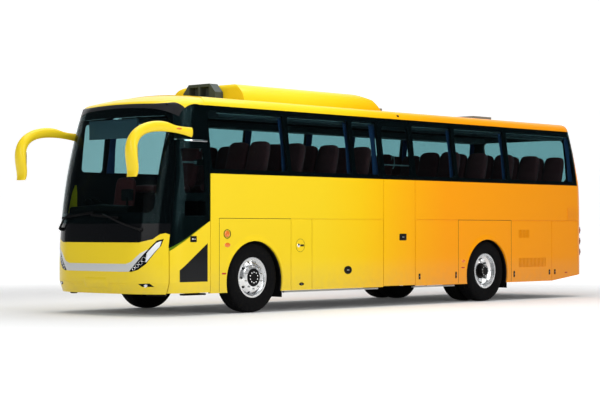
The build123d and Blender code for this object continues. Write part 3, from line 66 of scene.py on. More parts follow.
# %% Camera
lens = bpy.data.cameras.new("long_lens")
lens.lens = 103.24
lens.sensor_width = 36.0
camera = bpy.data.objects.new("camera", lens)
camera.location = (19.0531, -21.3835, 1.2146)
camera.rotation_euler = (radians(91.022), 0.0, radians(42.764))
bpy.context.scene.collection.objects.link(camera)
bpy.context.scene.camera = camera

# %% [markdown]
# ## A pale studio
# The coach stands on white cloth that runs back and up behind it, as in a photographer's studio. The cloth glows far
# from the coach, so the background is white, while near the wheels it is plain cloth that takes a shadow. The world is
# dim, so glass and black print stay deep, and big soft lamps give the paint its light. The standard view transform
# keeps strong yellows as strong as they are in print.

# %% Studio
world = bpy.data.worlds.new("white_tent")
world.use_nodes = True
world.node_tree.nodes["Background"].inputs["Color"].default_value = (0.93, 0.97, 1.0, 1.0)
world.node_tree.nodes["Background"].inputs["Strength"].default_value = 0.16
bpy.context.scene.world = world
bpy.context.scene.view_settings.view_transform = "Standard"


def softbox(name, place, turn, size, power):
    """A square lamp of one side's length, with its power in watts."""
    light = bpy.data.lights.new(name, "AREA")
    light.size = size
    light.energy = power
    lamp = bpy.data.objects.new(name, light)
    lamp.location = place
    lamp.rotation_euler = [radians(angle) for angle in turn]
    bpy.context.scene.collection.objects.link(lamp)


softbox("sky_lamp", (1.0, 0.0, 13.0), (0, 0, 0), 14.0, 2100)
softbox("side_lamp", (15.0, -3.0, 6.5), (66, 0, 98), 9.0, 1010)
softbox("nose_lamp", (4.0, -17.0, 6.0), (72, 0, 14), 8.0, 650)

# %% [markdown]
# ## From grids of points to meshes
# Every new piece here is a surface with two parameters, worked out as a numpy array of points in rows and columns.
# One helper joins neighbours into quads; another puts all a piece's grids in one mesh, closes seams and poles, turns
# the faces outwards, and lets it ride on its body.

# %% Grid helpers
def quads(points, ring=False):
    """Faces between neighbouring rows and columns; ring joins the last column to the first."""
    rows, columns = points.shape[:2]
    number = np.arange(rows * columns).reshape(rows, columns)
    if ring:
        number = np.concatenate([number, number[:, :1]], axis=1)
    faces = np.stack([number[:-1, :-1], number[:-1, 1:], number[1:, 1:], number[1:, :-1]], axis=-1)
    return points.reshape(-1, 3), faces.reshape(-1, 4)


def piece(name, grids, finish, body="root", slot=None, crease=35.0):
    """One object from a list of (points, faces), with merged doubles, outward faces and sharp creases."""
    offset, points, faces = 0, [], []
    for grid_points, grid_faces in grids:
        points.append(grid_points)
        faces.append(grid_faces + offset)
        offset += len(grid_points)
    points, faces = np.concatenate(points), np.concatenate(faces)
    mesh = bpy.data.meshes.new(name)
    mesh.vertices.add(len(points))
    mesh.vertices.foreach_set("co", points.astype(np.float32).ravel())
    mesh.loops.add(faces.size)
    mesh.loops.foreach_set("vertex_index", faces.astype(np.int32).ravel())
    mesh.polygons.add(len(faces))
    mesh.polygons.foreach_set("loop_start", np.arange(0, faces.size, 4, dtype=np.int32))
    mesh.update(calc_edges=True)
    shape = bmesh.new()
    shape.from_mesh(mesh)
    bmesh.ops.remove_doubles(shape, verts=shape.verts, dist=1e-5)
    bmesh.ops.recalc_face_normals(shape, faces=shape.faces)
    shape.to_mesh(mesh)
    shape.free()
    mesh.shade_smooth()
    mesh.set_sharp_from_angle(angle=radians(crease))
    mesh.materials.append(finish)
    made = bpy.data.objects.new(name, mesh)
    bpy.context.scene.collection.objects.link(made)
    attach(made, body)
    return made


def unit(vectors):
    return vectors / np.maximum(np.linalg.norm(vectors, axis=-1, keepdims=True), 1e-9)


def superellipse(sides, power):
    """The two coordinates of |a|^power + |b|^power = 1 at even turns: power 2 is round and 8 nearly square."""
    angle = np.linspace(0, 2 * pi, sides, endpoint=False)
    c, s = np.cos(angle), np.sin(angle)
    return np.sign(c) * np.abs(c) ** (2 / power), np.sign(s) * np.abs(s) ** (2 / power)


def ring_points(centre, radius, across, up, angle):
    """Points of a circle of one radius round centre, in the plane of across and up."""
    return centre + radius * (np.cos(angle)[:, None] * across + np.sin(angle)[:, None] * up)


def tube(path, radius, upright=(0.0, 0.0, 1.0), sides=12, power=2.0):
    """A superellipse carried along a path. radius is one number, one for each point, or rows of (across, up). Both
    ends shrink to a point, so the tube is closed."""
    path = np.asarray(path, float)
    radius = np.broadcast_to(np.asarray(radius, float).reshape(-1, 1) if np.ndim(radius) < 2 else radius,
                             (len(path), 2))
    along = unit(np.gradient(path, axis=0))
    across = unit(np.cross(along, np.asarray(upright, float)))
    up = np.cross(across, along)
    c, s = superellipse(sides, power)
    rings = (path[:, None] + across[:, None] * (radius[:, :1] * c)[..., None]
             + up[:, None] * (radius[:, 1:] * s)[..., None])
    ends = [np.repeat(path[i][None, None], sides, axis=1) for i in (0, -1)]
    return quads(np.concatenate([ends[0], rings, ends[1]]), ring=True)


def pads(places, across, up, sizes, rise, depth=0.004, power=4.0, rings=5, sides=24):
    """Domed pads, one for each place. Round it runs a superellipse |a|^n + |b|^n = 1 of half widths sizes; rings of
    radius t from 1 to 0 lie at rise x sqrt(1 - t^2) along across x up, and a skirt goes back by depth."""
    places = np.atleast_2d(np.asarray(places, float))
    across, up = (unit(np.broadcast_to(np.asarray(v, float), places.shape)) for v in (across, up))
    out = np.cross(across, up)
    sizes = np.broadcast_to(np.asarray(sizes, float), (len(places), 2))
    c, s = superellipse(sides, power)
    t = np.cos(np.linspace(0, pi / 2, rings))
    scale = np.concatenate([[0, 1], t])
    height = np.concatenate([[-depth, -depth], rise * np.sqrt(np.maximum(0, 1 - t ** 2))])
    return [quads(p + scale[:, None, None] * (a * (size[0] * c)[:, None] + u * (size[1] * s)[:, None])
                  + o * height[:, None, None], ring=True)
            for p, a, u, o, size in zip(places, across, up, out, sizes)]


def turned(profile, centre, side=1.0, sides=48, axis=0):
    """A profile of (along, radius) turned about an axis through centre."""
    profile = np.asarray(profile, float)
    angle = np.linspace(0, 2 * pi, sides, endpoint=False)
    along = np.repeat(side * profile[:, :1], sides, axis=1)
    first, second = profile[:, 1:] * np.cos(angle), profile[:, 1:] * np.sin(angle)
    order = {0: (along, first, second), 1: (second, along, first), 2: (first, second, along)}[axis]
    return quads(np.asarray(centre, float) + np.stack(order, axis=-1), ring=True)


# %% [markdown]
# ## The body's own surface
# Lamps, latches and wipers must sit on the skin. The skin is known exactly: an upright side that leans in above the
# belt, and a nose made of three arcs that touch each other in plan and rake back on a parabola.

# %% Skin of the body
HALF, WAIST, BELT = 1.275, 1.395, 2.037
LEAN, BAND, CROWN, ROOF = 0.123, 2.041, 8.3, 3.227
NOSE = -5.145
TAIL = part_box("rear_bumper")[1].y
BOW, BOW_HALF, SHOULDER, CORNER = 5.3, 0.62, 0.9, 0.45
CHIN, CHIN_SLOPE, BROW, BROW_BEND = 0.476, 0.40, 0.7, 12.8
TAIL_KINK, TAIL_BEND = 1.5, 13.0
NOSE_END = -0.911


def at(station):
    """A place along the coach, measured back from the front axle."""
    return FRONT_AXLE + station


def nose_line(z):
    """How far forward the middle of the nose is: back below the chin, straight, and back on a parabola above the
    brow."""
    z = np.asarray(z, float)
    return NOSE + np.maximum(0, CHIN - z) * CHIN_SLOPE + np.maximum(0, z - BROW) ** 2 / BROW_BEND


BOW_TURN = np.arcsin(BOW_HALF / BOW)
SHOULDER_X = (BOW - SHOULDER) * np.sin(BOW_TURN)
SHOULDER_BACK = BOW - (BOW - SHOULDER) * np.cos(BOW_TURN)
CORNER_TURN = np.arcsin((HALF - CORNER - SHOULDER_X) / (SHOULDER - CORNER))
CORNER_X = HALF - CORNER
CORNER_BACK = SHOULDER_BACK - (SHOULDER - CORNER) * np.cos(CORNER_TURN)


def nose_skin(x, z, out=0.0):
    """The point of the nose at x across and height z, moved out along the plan's normal. Each arc gives
    y = centre - sqrt(radius^2 - (x - centre)^2)."""
    x, z = np.broadcast_arrays(np.asarray(x, float), np.asarray(z, float))
    lean = np.maximum(0, z - BELT) * LEAN
    reach = np.abs(x) + lean * np.clip((np.abs(x) - BOW_HALF) / (HALF - BOW_HALF), 0, 1)
    end = SHOULDER_X + SHOULDER * np.sin(CORNER_TURN)
    centre_x = np.select([reach < BOW_HALF, reach < end], [0.0, SHOULDER_X], CORNER_X)
    back = np.select([reach < BOW_HALF, reach < end], [BOW, SHOULDER_BACK], CORNER_BACK)
    radius = np.select([reach < BOW_HALF, reach < end], [BOW, SHOULDER], CORNER)
    run = np.clip(reach - centre_x, 0, radius - 1e-6)
    y = nose_line(z) + back - np.sqrt(radius ** 2 - run ** 2)
    normal_x, normal_y = np.sign(x) * run / radius, -np.sqrt(radius ** 2 - run ** 2) / radius
    return np.stack([x + out * normal_x, y + out * normal_y, z], axis=-1)


def side_skin(y, z, out=0.0, side=1.0):
    """The point of a side at y and height z, moved out sideways; ahead of the corner it follows the corner's arc."""
    y, z = np.broadcast_arrays(np.asarray(y, float), np.asarray(z, float))
    start = nose_line(z) + CORNER_BACK
    ahead = np.clip(start - y, 0, CORNER)
    x = CORNER_X + np.sqrt(CORNER ** 2 - ahead ** 2) - np.maximum(0, z - BELT) * LEAN
    return np.stack([side * (x + out), y, z], axis=-1)


print("the nose's corner begins", round(float(CORNER_BACK), 3), "m behind its tip")

# %% [markdown]
# ## How finishes are made
# A finish starts as one Principled shader whose plain numbers sit on its own sockets. Patterns are added with a few
# nodes that read Object coordinates, so that they stay put on the coach when a door swings.

# %% Finish helpers
def screen(red, green, blue):
    """A colour as seen on a screen, 0 to 255, made linear."""
    c = np.array([red, green, blue]) / 255
    return tuple(np.where(c < 0.04045, c / 12.92, ((c + 0.055) / 1.055) ** 2.4))


finishes = {}


def finish_of(name, colour, roughness, **sockets):
    """A Principled finish, kept in finishes; other sockets are given by name with _ for a space."""
    material = finishes[name] = bpy.data.materials.new(name)
    material.use_nodes = True
    shader = material.node_tree.nodes["Principled BSDF"]
    shader.inputs["Base Color"].default_value = (*colour, 1.0)
    shader.inputs["Roughness"].default_value = roughness
    for socket, value in sockets.items():
        shader.inputs[socket.replace("_", " ")].default_value = value
    return material


def shader_of(material):
    return material.node_tree.nodes["Principled BSDF"]


def node(material, kind, *inputs, **settings):
    """Add a node. Each input is a number, a colour, another node's output, or None to leave it."""
    made = material.node_tree.nodes.new("ShaderNode" + kind)
    for key, value in settings.items():
        setattr(made, key, value)
    for socket, value in zip(made.inputs, inputs):
        if isinstance(value, bpy.types.NodeSocket):
            material.node_tree.links.new(value, socket)
        elif value is not None:
            socket.default_value = value
    return made


def maths(material, operation, a, b=None):
    return node(material, "Math", a, b, operation=operation).outputs[0]


def place_of(material):
    """x, y and z on the coach, as three outputs."""
    where = node(material, "TexCoord").outputs["Object"]
    return where, *node(material, "SeparateXYZ", where).outputs


def between(material, value, low, high):
    """0 below low, 1 above high, and a straight ramp between them."""
    return node(material, "MapRange", value, low, high).outputs[0]


def blended(material, factor, first, second):
    """Colour first where the factor is 0, and second where it is 1."""
    made = node(material, "Mix", data_type="RGBA")
    for index, value in ((0, factor), (6, first), (7, second)):
        if isinstance(value, bpy.types.NodeSocket):
            material.node_tree.links.new(value, made.inputs[index])
        else:
            made.inputs[index].default_value = value if index == 0 else (*value[:3], 1.0)
    return made.outputs[2]


def grain(material, size, detail=3.0, stretch=(1.0, 1.0, 1.0)):
    """Noise whose spots are about one size across, in metres, longer along an axis with a stretch above 1."""
    where = node(material, "TexCoord").outputs["Object"]
    scaled = node(material, "Mapping", where, None, None, tuple(1 / s for s in stretch)).outputs[0]
    return node(material, "TexNoise", scaled, None, 1 / size, detail).outputs[0]


def relief(material, height, depth, strength=1.0):
    """Bump from a height between 0 and 1, with its depth in metres."""
    bump = node(material, "Bump", strength, depth)
    material.node_tree.links.new(height, bump.inputs["Height"])
    material.node_tree.links.new(bump.outputs[0], shader_of(material).inputs["Normal"])


def colour_from(material, output):
    material.node_tree.links.new(output, shader_of(material).inputs["Base Color"])


def surface_from(material, mix):
    """The mix of shaders that is seen, in place of the Principled shader alone."""
    material.node_tree.links.new(mix.outputs[0], material.node_tree.nodes["Material Output"].inputs["Surface"])


def mottle(material, size, detail, edges, first, second):
    """Two colours in blots of one size, with the ramp between them over edges."""
    blots = between(material, grain(material, size, detail), *edges)
    colour_from(material, blended(material, blots, first, second))


def roughness_from(material, output, low, high):
    """Roughness between low and high, led by an output from 0 to 1."""
    spread = node(material, "MapRange", output, 0.0, 1.0, low, high).outputs[0]
    material.node_tree.links.new(spread, shader_of(material).inputs["Roughness"])


# %% [markdown]
# ## The cloth
# In section the cloth is a flat floor, a quarter turn and an upright wall. Its glow grows with the distance from the
# coach's middle. Only its front is seen: the wall's back lets the eye through, so that the coach also shows from
# behind.

# %% Cloth
FLOOR_END, WALL_ROUND, WALL_TOP, CLOTH_HALF = 22, 8, 30.0, 45.0
bend = np.linspace(0, pi / 2, 13)
section = np.concatenate([[(-40.0, 0.0)], np.stack([FLOOR_END + WALL_ROUND * np.sin(bend),
                                                    WALL_ROUND - WALL_ROUND * np.cos(bend)], axis=1),
                          [(30.0, WALL_TOP)]])
back, across = np.array([-0.68, 0.73, 0.0]), np.array([0.73, 0.68, 0.0])
sweep = (section[:, None, :1] * back + section[:, None, 1:] * np.array([0.0, 0.0, 1.0])
         + np.array([-CLOTH_HALF, CLOTH_HALF])[None, :, None] * across)
sweep_points, sweep_faces = quads(sweep)
cloth_mesh = bpy.data.meshes.new("studio_cloth")
cloth_mesh.from_pydata(sweep_points.tolist(), [], sweep_faces.tolist())
if cloth_mesh.polygons[0].normal.z < 0:
    cloth_mesh.flip_normals()
cloth_mesh.shade_smooth()
cloth = finish_of("studio_cloth", (0.75, 0.75, 0.75), 0.9, Emission_Color=(1.0, 1.0, 1.0, 1.0))
distance = node(cloth, "VectorMath", node(cloth, "TexCoord").outputs["Object"], operation="LENGTH").outputs["Value"]
glow = node(cloth, "MapRange", distance, 6.0, 16.0, 0.04, 0.65, interpolation_type="SMOOTHSTEP").outputs[0]
cloth.node_tree.links.new(glow, shader_of(cloth).inputs["Emission Strength"])
surface_from(cloth, node(cloth, "MixShader", node(cloth, "NewGeometry").outputs["Backfacing"],
                         shader_of(cloth).outputs[0], node(cloth, "BsdfTransparent").outputs[0]))
cloth_mesh.materials.append(cloth)
sheet_of_cloth = bpy.data.objects.new("studio_cloth", cloth_mesh)
bpy.context.scene.collection.objects.link(sheet_of_cloth)

# %% [markdown]
# ## The faded yellow paint
# The coach is lemon at its nose and deepens past the middle door to orange at its tail: a sprayed fade, which here is
# a colour ramp along Y with stops at the stations where the photograph changes. Walls are painted outside and lined
# in grey inside. The shader tells them apart by how deep a point lies under the outer skin, rounding the corners
# with the same radius as the body has.

# %% Paint
FADE = ((-2.0, (236, 206, 40)), (1.5, (236, 202, 28)), (2.4, (238, 194, 10)), (2.95, (241, 184, 0)),
        (3.77, (243, 168, 0)), (4.6, (245, 156, 0)), (8.75, (246, 151, 0)))
LINING = (0.018, 0.018, 0.020)
PRINT = (0.004, 0.0045, 0.0055)


def fade(material, y):
    """Paint colour by the place along the coach."""
    ramp = node(material, "ValToRGB", between(material, y, at(FADE[0][0]), at(FADE[-1][0])))
    length = FADE[-1][0] - FADE[0][0]
    while len(ramp.color_ramp.elements) < len(FADE):
        ramp.color_ramp.elements.new(0.5)
    for stop, (station, colour) in zip(ramp.color_ramp.elements, FADE):
        stop.position = (station - FADE[0][0]) / length
        stop.color = (*screen(*colour), 1.0)
    return ramp.outputs[0]


def under_skin(material, x, y, z):
    """1 on the outer skin and 0 from 20 mm below it. The depths under the side, crown and tail are rounded off with
    sqrt(max(0, R - a)^2 + max(0, R - b)^2) > R - 0.02, with R the body's own corner radius."""
    def op(operation, a, b=None):
        return maths(material, operation, a, b)

    ahead = op("MAXIMUM", op("SUBTRACT", at(NOSE_END), y), 0.0)
    lean = op("MULTIPLY", op("MAXIMUM", op("SUBTRACT", z, BELT), 0.0), LEAN)
    across = op("ABSOLUTE", x)
    side = op("SUBTRACT", op("SUBTRACT", HALF, lean), across)
    side = op("SUBTRACT", side, op("MULTIPLY", op("POWER", ahead, 2.0), 0.16))
    drop = op("MULTIPLY", op("POWER", across, 2.0), 1 / (2 * CROWN))
    dome = op("MAXIMUM", op("SUBTRACT", NOSE + 1.3, y), 0.0)
    dome = op("MULTIPLY", op("POWER", dome, 2.0), 0.2)
    top = op("SUBTRACT", op("SUBTRACT", op("SUBTRACT", ROOF, drop), z), dome)
    rake = op("POWER", op("MAXIMUM", op("SUBTRACT", z, TAIL_KINK), 0.0), 2.0)
    tail = op("SUBTRACT", op("SUBTRACT", TAIL, op("DIVIDE", rake, TAIL_BEND)), y)
    masks = []
    for radius, first, second in ((0.15, side, top), (0.25, side, tail), (0.15, top, tail)):
        near = [op("POWER", op("MAXIMUM", op("SUBTRACT", radius, depth), 0.0), 2.0) for depth in (first, second)]
        masks.append(op("GREATER_THAN", op("SQRT", op("ADD", *near)), radius - 0.02))
    return op("MAXIMUM", op("MAXIMUM", masks[0], masks[1]), masks[2])


def paint(name, black=None, lined=True):
    """Yellow paint with a faint orange-peel; black gives a 0 to 1 mask of what is printed black instead."""
    material = finish_of(name, (0.8, 0.6, 0.05), 0.35, Coat_Weight=0.2, Coat_Roughness=0.05,
                         Specular_IOR_Level=0.12)
    where, x, y, z = place_of(material)
    colour = fade(material, y)
    dust = between(material, z, 0.75, 0.30)
    dirt = maths(material, "MULTIPLY", dust, maths(material, "MULTIPLY", grain(material, 0.09, 4.0), 0.28))
    colour = blended(material, dirt, colour, (0.30, 0.26, 0.18))
    if black:
        colour = blended(material, black(material, x, y, z), colour, PRINT)
    if lined:
        colour = blended(material, under_skin(material, x, y, z), LINING, colour)
    colour_from(material, colour)
    roughness_from(material, grain(material, 0.30, 2.0), 0.26, 0.36)
    relief(material, grain(material, 0.006, 1.0), 0.00025, 0.5)
    return material


def above_belt(material, x, y, z):
    """The wall behind the band of glass is printed black."""
    return maths(material, "GREATER_THAN", z, BAND)


def door_print(material, x, y, z):
    """The entry door is black over a slanting band of yellow, and black in a window below it. Its two slanting edges
    are straight lines in y and z."""
    run = between(material, y, at(-1.655), at(NOSE_END))
    over = maths(material, "SUBTRACT", z, maths(material, "ADD", maths(material, "MULTIPLY", run, 0.4), 0.962))
    over = maths(material, "GREATER_THAN", over, 0.0)
    under = maths(material, "ADD", maths(material, "MULTIPLY", run, 0.53), 0.548)
    under = maths(material, "LESS_THAN", z, under)
    for low, high, value in ((at(-1.508), at(-0.97), y), (0.484, 9.0, z)):
        under = maths(material, "MULTIPLY", under, maths(material, "GREATER_THAN", value, low))
        under = maths(material, "MULTIPLY", under, maths(material, "LESS_THAN", value, high))
    return maths(material, "MAXIMUM", over, under)


paint("panel_paint")
wall_paint = paint("wall_paint", black=above_belt)
paint("door_paint", black=door_print, lined=False)
nose_paint = paint("nose_paint", lined=False)

# %% [markdown]
# ## Glass
# A pane a few millimetres thick hardly bends light, so a see-through tint mixed with a mirror gloss looks like glass
# and lets lamps shine in without noise. The mirrored share follows Schlick, F = F0 + (1 - F0)(1 - cos angle)^5, which
# is alike on both faces of a pane. Light crosses two faces of each pane, so the tint is the square root of what one
# pane lets through.

# %% Glass finishes
F0 = 0.02


def glass(name, tint, gloss=0.02):
    """Tint lets light straight through, and a share is mirrored."""
    material = finish_of(name, (0.01, 0.011, 0.013), gloss)
    film = node(material, "BsdfTransparent", (*tint, 1.0))
    grazing = maths(material, "POWER", node(material, "LayerWeight", 0.5).outputs["Facing"], 5.0)
    share = maths(material, "ADD", maths(material, "MULTIPLY", grazing, 1 - F0), F0)
    surface_from(material, node(material, "MixShader", share, film.outputs[0], shader_of(material).outputs[0]))
    return material


glass("clear_glass", (0.70, 0.82, 0.83))
glass("tinted_glass", (0.60, 0.75, 0.765))
lamp_cover = glass("lamp_cover", (0.93, 0.94, 0.95))

# %% [markdown]
# ## The other finishes
# Black print round the windscreen, silver trim, polished aluminium rims, rubber, moulded plastic, painted chassis
# steel, ribbed vinyl floors and woven seat cloth. Each gets grain at its true scale.

# %% Other finishes
black_gloss = finish_of("black_gloss", PRINT, 0.10, Specular_IOR_Level=0.1)
relief(black_gloss, grain(black_gloss, 0.5, 1.0), 0.002, 0.15)
silver = finish_of("silver_trim", (0.62, 0.63, 0.63), 0.32, Metallic=0.35, Coat_Weight=0.4)
relief(silver, grain(silver, 0.002, 2.0), 0.0001, 0.4)
chrome = finish_of("chrome", (0.78, 0.79, 0.80), 0.10, Metallic=1.0)
roughness_from(chrome, grain(chrome, 0.02, 3.0), 0.06, 0.16)
aluminium = finish_of("polished_aluminium", (0.86, 0.87, 0.88), 0.2, Metallic=1.0)
roughness_from(aluminium, grain(aluminium, 0.03, 4.0), 0.14, 0.30)
relief(aluminium, grain(aluminium, 0.004, 2.0), 0.00015, 0.3)
steel = finish_of("brushed_steel", (0.50, 0.51, 0.52), 0.35, Metallic=1.0)
relief(steel, grain(steel, 0.001, 2.0, (1.0, 1.0, 30.0)), 0.0001, 0.5)
chassis_black = finish_of("chassis_black", (0.010, 0.010, 0.011), 0.55, Specular_IOR_Level=0.2)
mottle(chassis_black, 0.08, 5.0, (0.45, 0.75), (0.008, 0.008, 0.009), (0.030, 0.027, 0.023))
relief(chassis_black, grain(chassis_black, 0.004, 3.0), 0.0006, 0.5)
rubber = finish_of("tyre_rubber", (0.004, 0.004, 0.0045), 0.7, Specular_IOR_Level=0.06)
mottle(rubber, 0.05, 5.0, (0.5, 0.85), (0.003, 0.003, 0.0035), (0.008, 0.0075, 0.007))
relief(rubber, grain(rubber, 0.0015, 2.0), 0.0003, 0.5)
moulding = finish_of("moulded_black", (0.005, 0.005, 0.0055), 0.45, Specular_IOR_Level=0.1)
relief(moulding, grain(moulding, 0.0012, 2.0), 0.0002, 0.6)
grey_plastic = finish_of("grey_plastic", (0.18, 0.22, 0.215), 0.5)
relief(grey_plastic, grain(grey_plastic, 0.0015, 2.0), 0.0002, 0.5)
unit_grey = finish_of("unit_grey", (0.05, 0.065, 0.06), 0.5, Specular_IOR_Level=0.25)
relief(unit_grey, grain(unit_grey, 0.0015, 2.0), 0.0002, 0.5)
grip_grey = finish_of("grip_grey", (0.42, 0.46, 0.46), 0.4)
vinyl = finish_of("floor_vinyl", (0.10, 0.10, 0.11), 0.6)
mottle(vinyl, 0.004, 1.0, (0.55, 0.62), (0.085, 0.088, 0.095), (0.20, 0.20, 0.21))
relief(vinyl, node(vinyl, "TexWave", place_of(vinyl)[0], 40.0).outputs[0], 0.0008, 0.6)
lens_red = finish_of("red_lens", (0.45, 0.006, 0.004), 0.08, Coat_Weight=0.5)
lens_amber = finish_of("amber_lens", (0.75, 0.17, 0.01), 0.10, Coat_Weight=0.5)
lens_white = finish_of("white_lens", (0.75, 0.77, 0.80), 0.12, Coat_Weight=0.5)
for lens_finish in (lens_red, lens_amber, lens_white):
    ribs = node(lens_finish, "TexVoronoi", place_of(lens_finish)[0], None, 160.0)
    relief(lens_finish, ribs.outputs["Distance"], 0.001, 0.6)

CAD_FINISHES = {
    "panel_paint": "arch_panels_left arch_panels_right charging_flap luggage_door_left bay_flap_left "
                   "louvre_flap_left rear_flap_left luggage_door_right bay_door_right service_flap_right rear_wall "
                   "rear_bumper rear_hatch roof_shell",
    "wall_paint": "side_wall_left side_wall_right middle_door_leaf",
    "door_paint": "entry_door_leaf",
    "nose_paint": "front_panel front_bumper front_corners mirrors roof_fairing",
    "clear_glass": "windscreen", "tinted_glass": "side_glass_left side_glass_right rear_window entry_door_glass "
                                                 "middle_door_glass",
    "black_gloss": "front_frame front_mask headlamps", "silver_trim": "front_band", "red_lens": "tail_lamps",
    "chassis_black": "chassis_frame front_axle knuckle_left knuckle_right rear_axle battery_and_motor",
    "polished_aluminium": "front_rim_left front_rim_right rear_rims_left rear_rims_right",
    "tyre_rubber": "front_tyre_left front_tyre_right rear_tyres_left rear_tyres_right",
    "moulded_black": "air_springs wheel_arch_liners dashboard", "floor_vinyl": "steps driver_platform floors",
    "grey_plastic": "roof_hatch_front roof_hatch_rear passenger_seats", "unit_grey": "roof_unit",
    "brushed_steel": "entry_door_arm middle_door_arm"}
for finish, nodes in CAD_FINISHES.items():
    for name in nodes.split():
        slots = frame["nodes"][name].data.materials
        slots.clear()
        slots.append(finishes[finish])
bare = [name for name in frame["nodes"] if not any(name in nodes.split() for nodes in CAD_FINISHES.values())]
print("nodes without a finish:", bare)

# %% [markdown]
# ## Tyres
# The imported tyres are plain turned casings. Each is replaced by one closed surface: a casing profile turned about the
# axle, whose radius is cut back by four grooves and, on the ribs between, by slanting sipes. It keeps the casing's
# own width and radius, so it still stands on the road.

# %% Tyres
TYRE_RADIUS, TREAD_HALF, TWIN = 0.522, 0.112, 0.335


def tyre_surface(centre_x, centre_y, side, around=384):
    """radius(angle, w) = casing(w) - groove(w) - sipe(angle, w). The casing is a polyline of (w, r) from bead to
    bead; grooves are dips at fixed w, and sipes are thin dips that repeat round the tyre and slant with w."""
    casing = np.array([(-0.118, 0.286), (-0.118, 0.299), (-0.132, 0.318), (-0.1445, 0.350), (-0.149, 0.404),
                       (-0.1475, 0.440), (-0.143, 0.470), (-0.1335, 0.494), (-0.122, 0.507), (-0.116, 0.511)])
    tread_w = np.linspace(-TREAD_HALF, TREAD_HALF, 57)
    tread = np.stack([tread_w, TYRE_RADIUS - 0.010 * (np.abs(tread_w) / TREAD_HALF) ** 2.2], axis=1)
    profile = np.concatenate([casing, tread, casing[::-1] * (-1, 1)])
    angle = np.linspace(0, 2 * pi, around, endpoint=False)
    w = profile[:, :1]
    on_tread = np.abs(w) < 0.113
    grooves = np.max([np.exp(-((w - g) / 0.0045) ** 6) for g in (-0.075, -0.025, 0.025, 0.075)], axis=0)
    phase = angle * 64 + 40 * np.abs(w)
    sipes = (np.cos(phase) > 0.86) * (np.abs(w) > 0.012)
    shoulder = (np.abs(w) > 0.110) & (np.abs(w) < 0.136)
    cut = on_tread * np.maximum(0.012 * grooves, 0.005 * sipes) + shoulder * 0.004 * (np.cos(angle * 64) > 0.2)
    ring = 0.0012 * ((np.abs(profile[:, 1:] - 0.33) < 0.006) | (np.abs(profile[:, 1:] - 0.472) < 0.004))
    radius = profile[:, 1:] - cut
    width = np.sign(w) * (np.abs(w) + ring) * np.ones_like(angle)
    points = np.stack([centre_x + side * width, centre_y + radius * np.sin(angle),
                       AXLE_HEIGHT + radius * np.cos(angle)], axis=-1)
    return quads(np.concatenate([points, points[:1]]), ring=True)


for name, side in (("left", 1), ("right", -1)):
    front = piece(f"tread_front_{name}", [tyre_surface(side * WHEEL_X, FRONT_AXLE, side)], rubber,
                  f"front_wheel_{name}", "tyre", crease=50)
    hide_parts(f"front_tyre_{name}")
    rear = piece(f"tread_rear_{name}", [tyre_surface(side * x, REAR_AXLE, side) for x in (WHEEL_X, WHEEL_X - TWIN)],
                 rubber, f"rear_wheel_{name}", "tyre", crease=50)
    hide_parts(f"rear_tyres_{name}")

# %% [markdown]
# ## Wheel nuts and hubs
# Ten nuts hold each wheel. A nut is a six-sided cup turned about the axle's direction, so its grid has six columns.
# The hub is a black cap with a shoulder and a nose, and ten bright bolts ring its nose. The front disc bulges out and
# the rear one is dished, so each axle has its own planes.

# %% Wheel nuts
NUT_RING, BOLT_RING, NUTS = 0.1675, 0.079, 10
NUT = ((0.0, 0.0), (0.0, 0.017), (0.012, 0.0165), (0.016, 0.012), (0.022, 0.010), (0.0255, 0.006), (0.026, 0.0))
BOLT = ((0.0, 0.0), (0.0, 0.0115), (0.007, 0.011), (0.009, 0.007), (0.009, 0.0))


def hub_cap(shoulder, nose):
    """Profile of (along, radius): a shoulder of 134 mm radius, a step in, and a nose of 96 mm."""
    return ((shoulder - 0.010, 0.0), (shoulder - 0.010, 0.134), (shoulder, 0.134), (shoulder + 0.002, 0.129),
            (shoulder + 0.002, 0.100), (shoulder + 0.004, 0.0965), (nose - 0.003, 0.0965), (nose, 0.092),
            (nose, 0.066), (nose - 0.004, 0.062), (nose - 0.004, 0.0))


for name, side in (("left", 1), ("right", -1)):
    for end, axle, disc, shoulder, nose in (("front", FRONT_AXLE, 0.1475, 0.134, 0.155),
                                            ("rear", REAR_AXLE, -0.060, 0.032, 0.125)):
        angle = np.linspace(0, 2 * pi, NUTS, endpoint=False) + 0.3
        circle = np.stack([0 * angle, np.cos(angle), np.sin(angle)], axis=1)
        middle = np.array([side * WHEEL_X, axle, AXLE_HEIGHT])
        studs = [turned(NUT, middle + (side * disc, 0, 0) + NUT_RING * spot, side, sides=6) for spot in circle]
        studs += [turned(BOLT, middle + (side * (nose - 0.001), 0, 0) + BOLT_RING * spot, side, sides=6)
                  for spot in circle]
        piece(f"nuts_{end}_{name}", studs, chrome, f"{end}_wheel_{name}", "polished_rim", crease=20)
        piece(f"hub_cap_{end}_{name}", [turned(hub_cap(shoulder, nose), middle, side)], moulding,
              f"{end}_wheel_{name}", "moulded_black")

# %% [markdown]
# ## Headlamps
# Each lamp is a slanting blade. A patch of the nose's skin between its inner and outer edges is a surface with two
# parameters: u from the lower tip to the upper tip, v from the inner edge to the outer. The day lamp fills the
# upper half with ribbed grey-white, and four round lenses in chrome rings sit in the dark lower half.

# %% Headlamps
INNER = np.array([(0.687, 0.636), (0.831, 0.793), (0.965, 0.949), (1.069, 1.076), (1.143, 1.098)])
OUTER = np.array([(0.722, 0.629), (0.831, 0.659), (0.943, 0.744), (1.040, 0.886), (1.115, 0.999)])


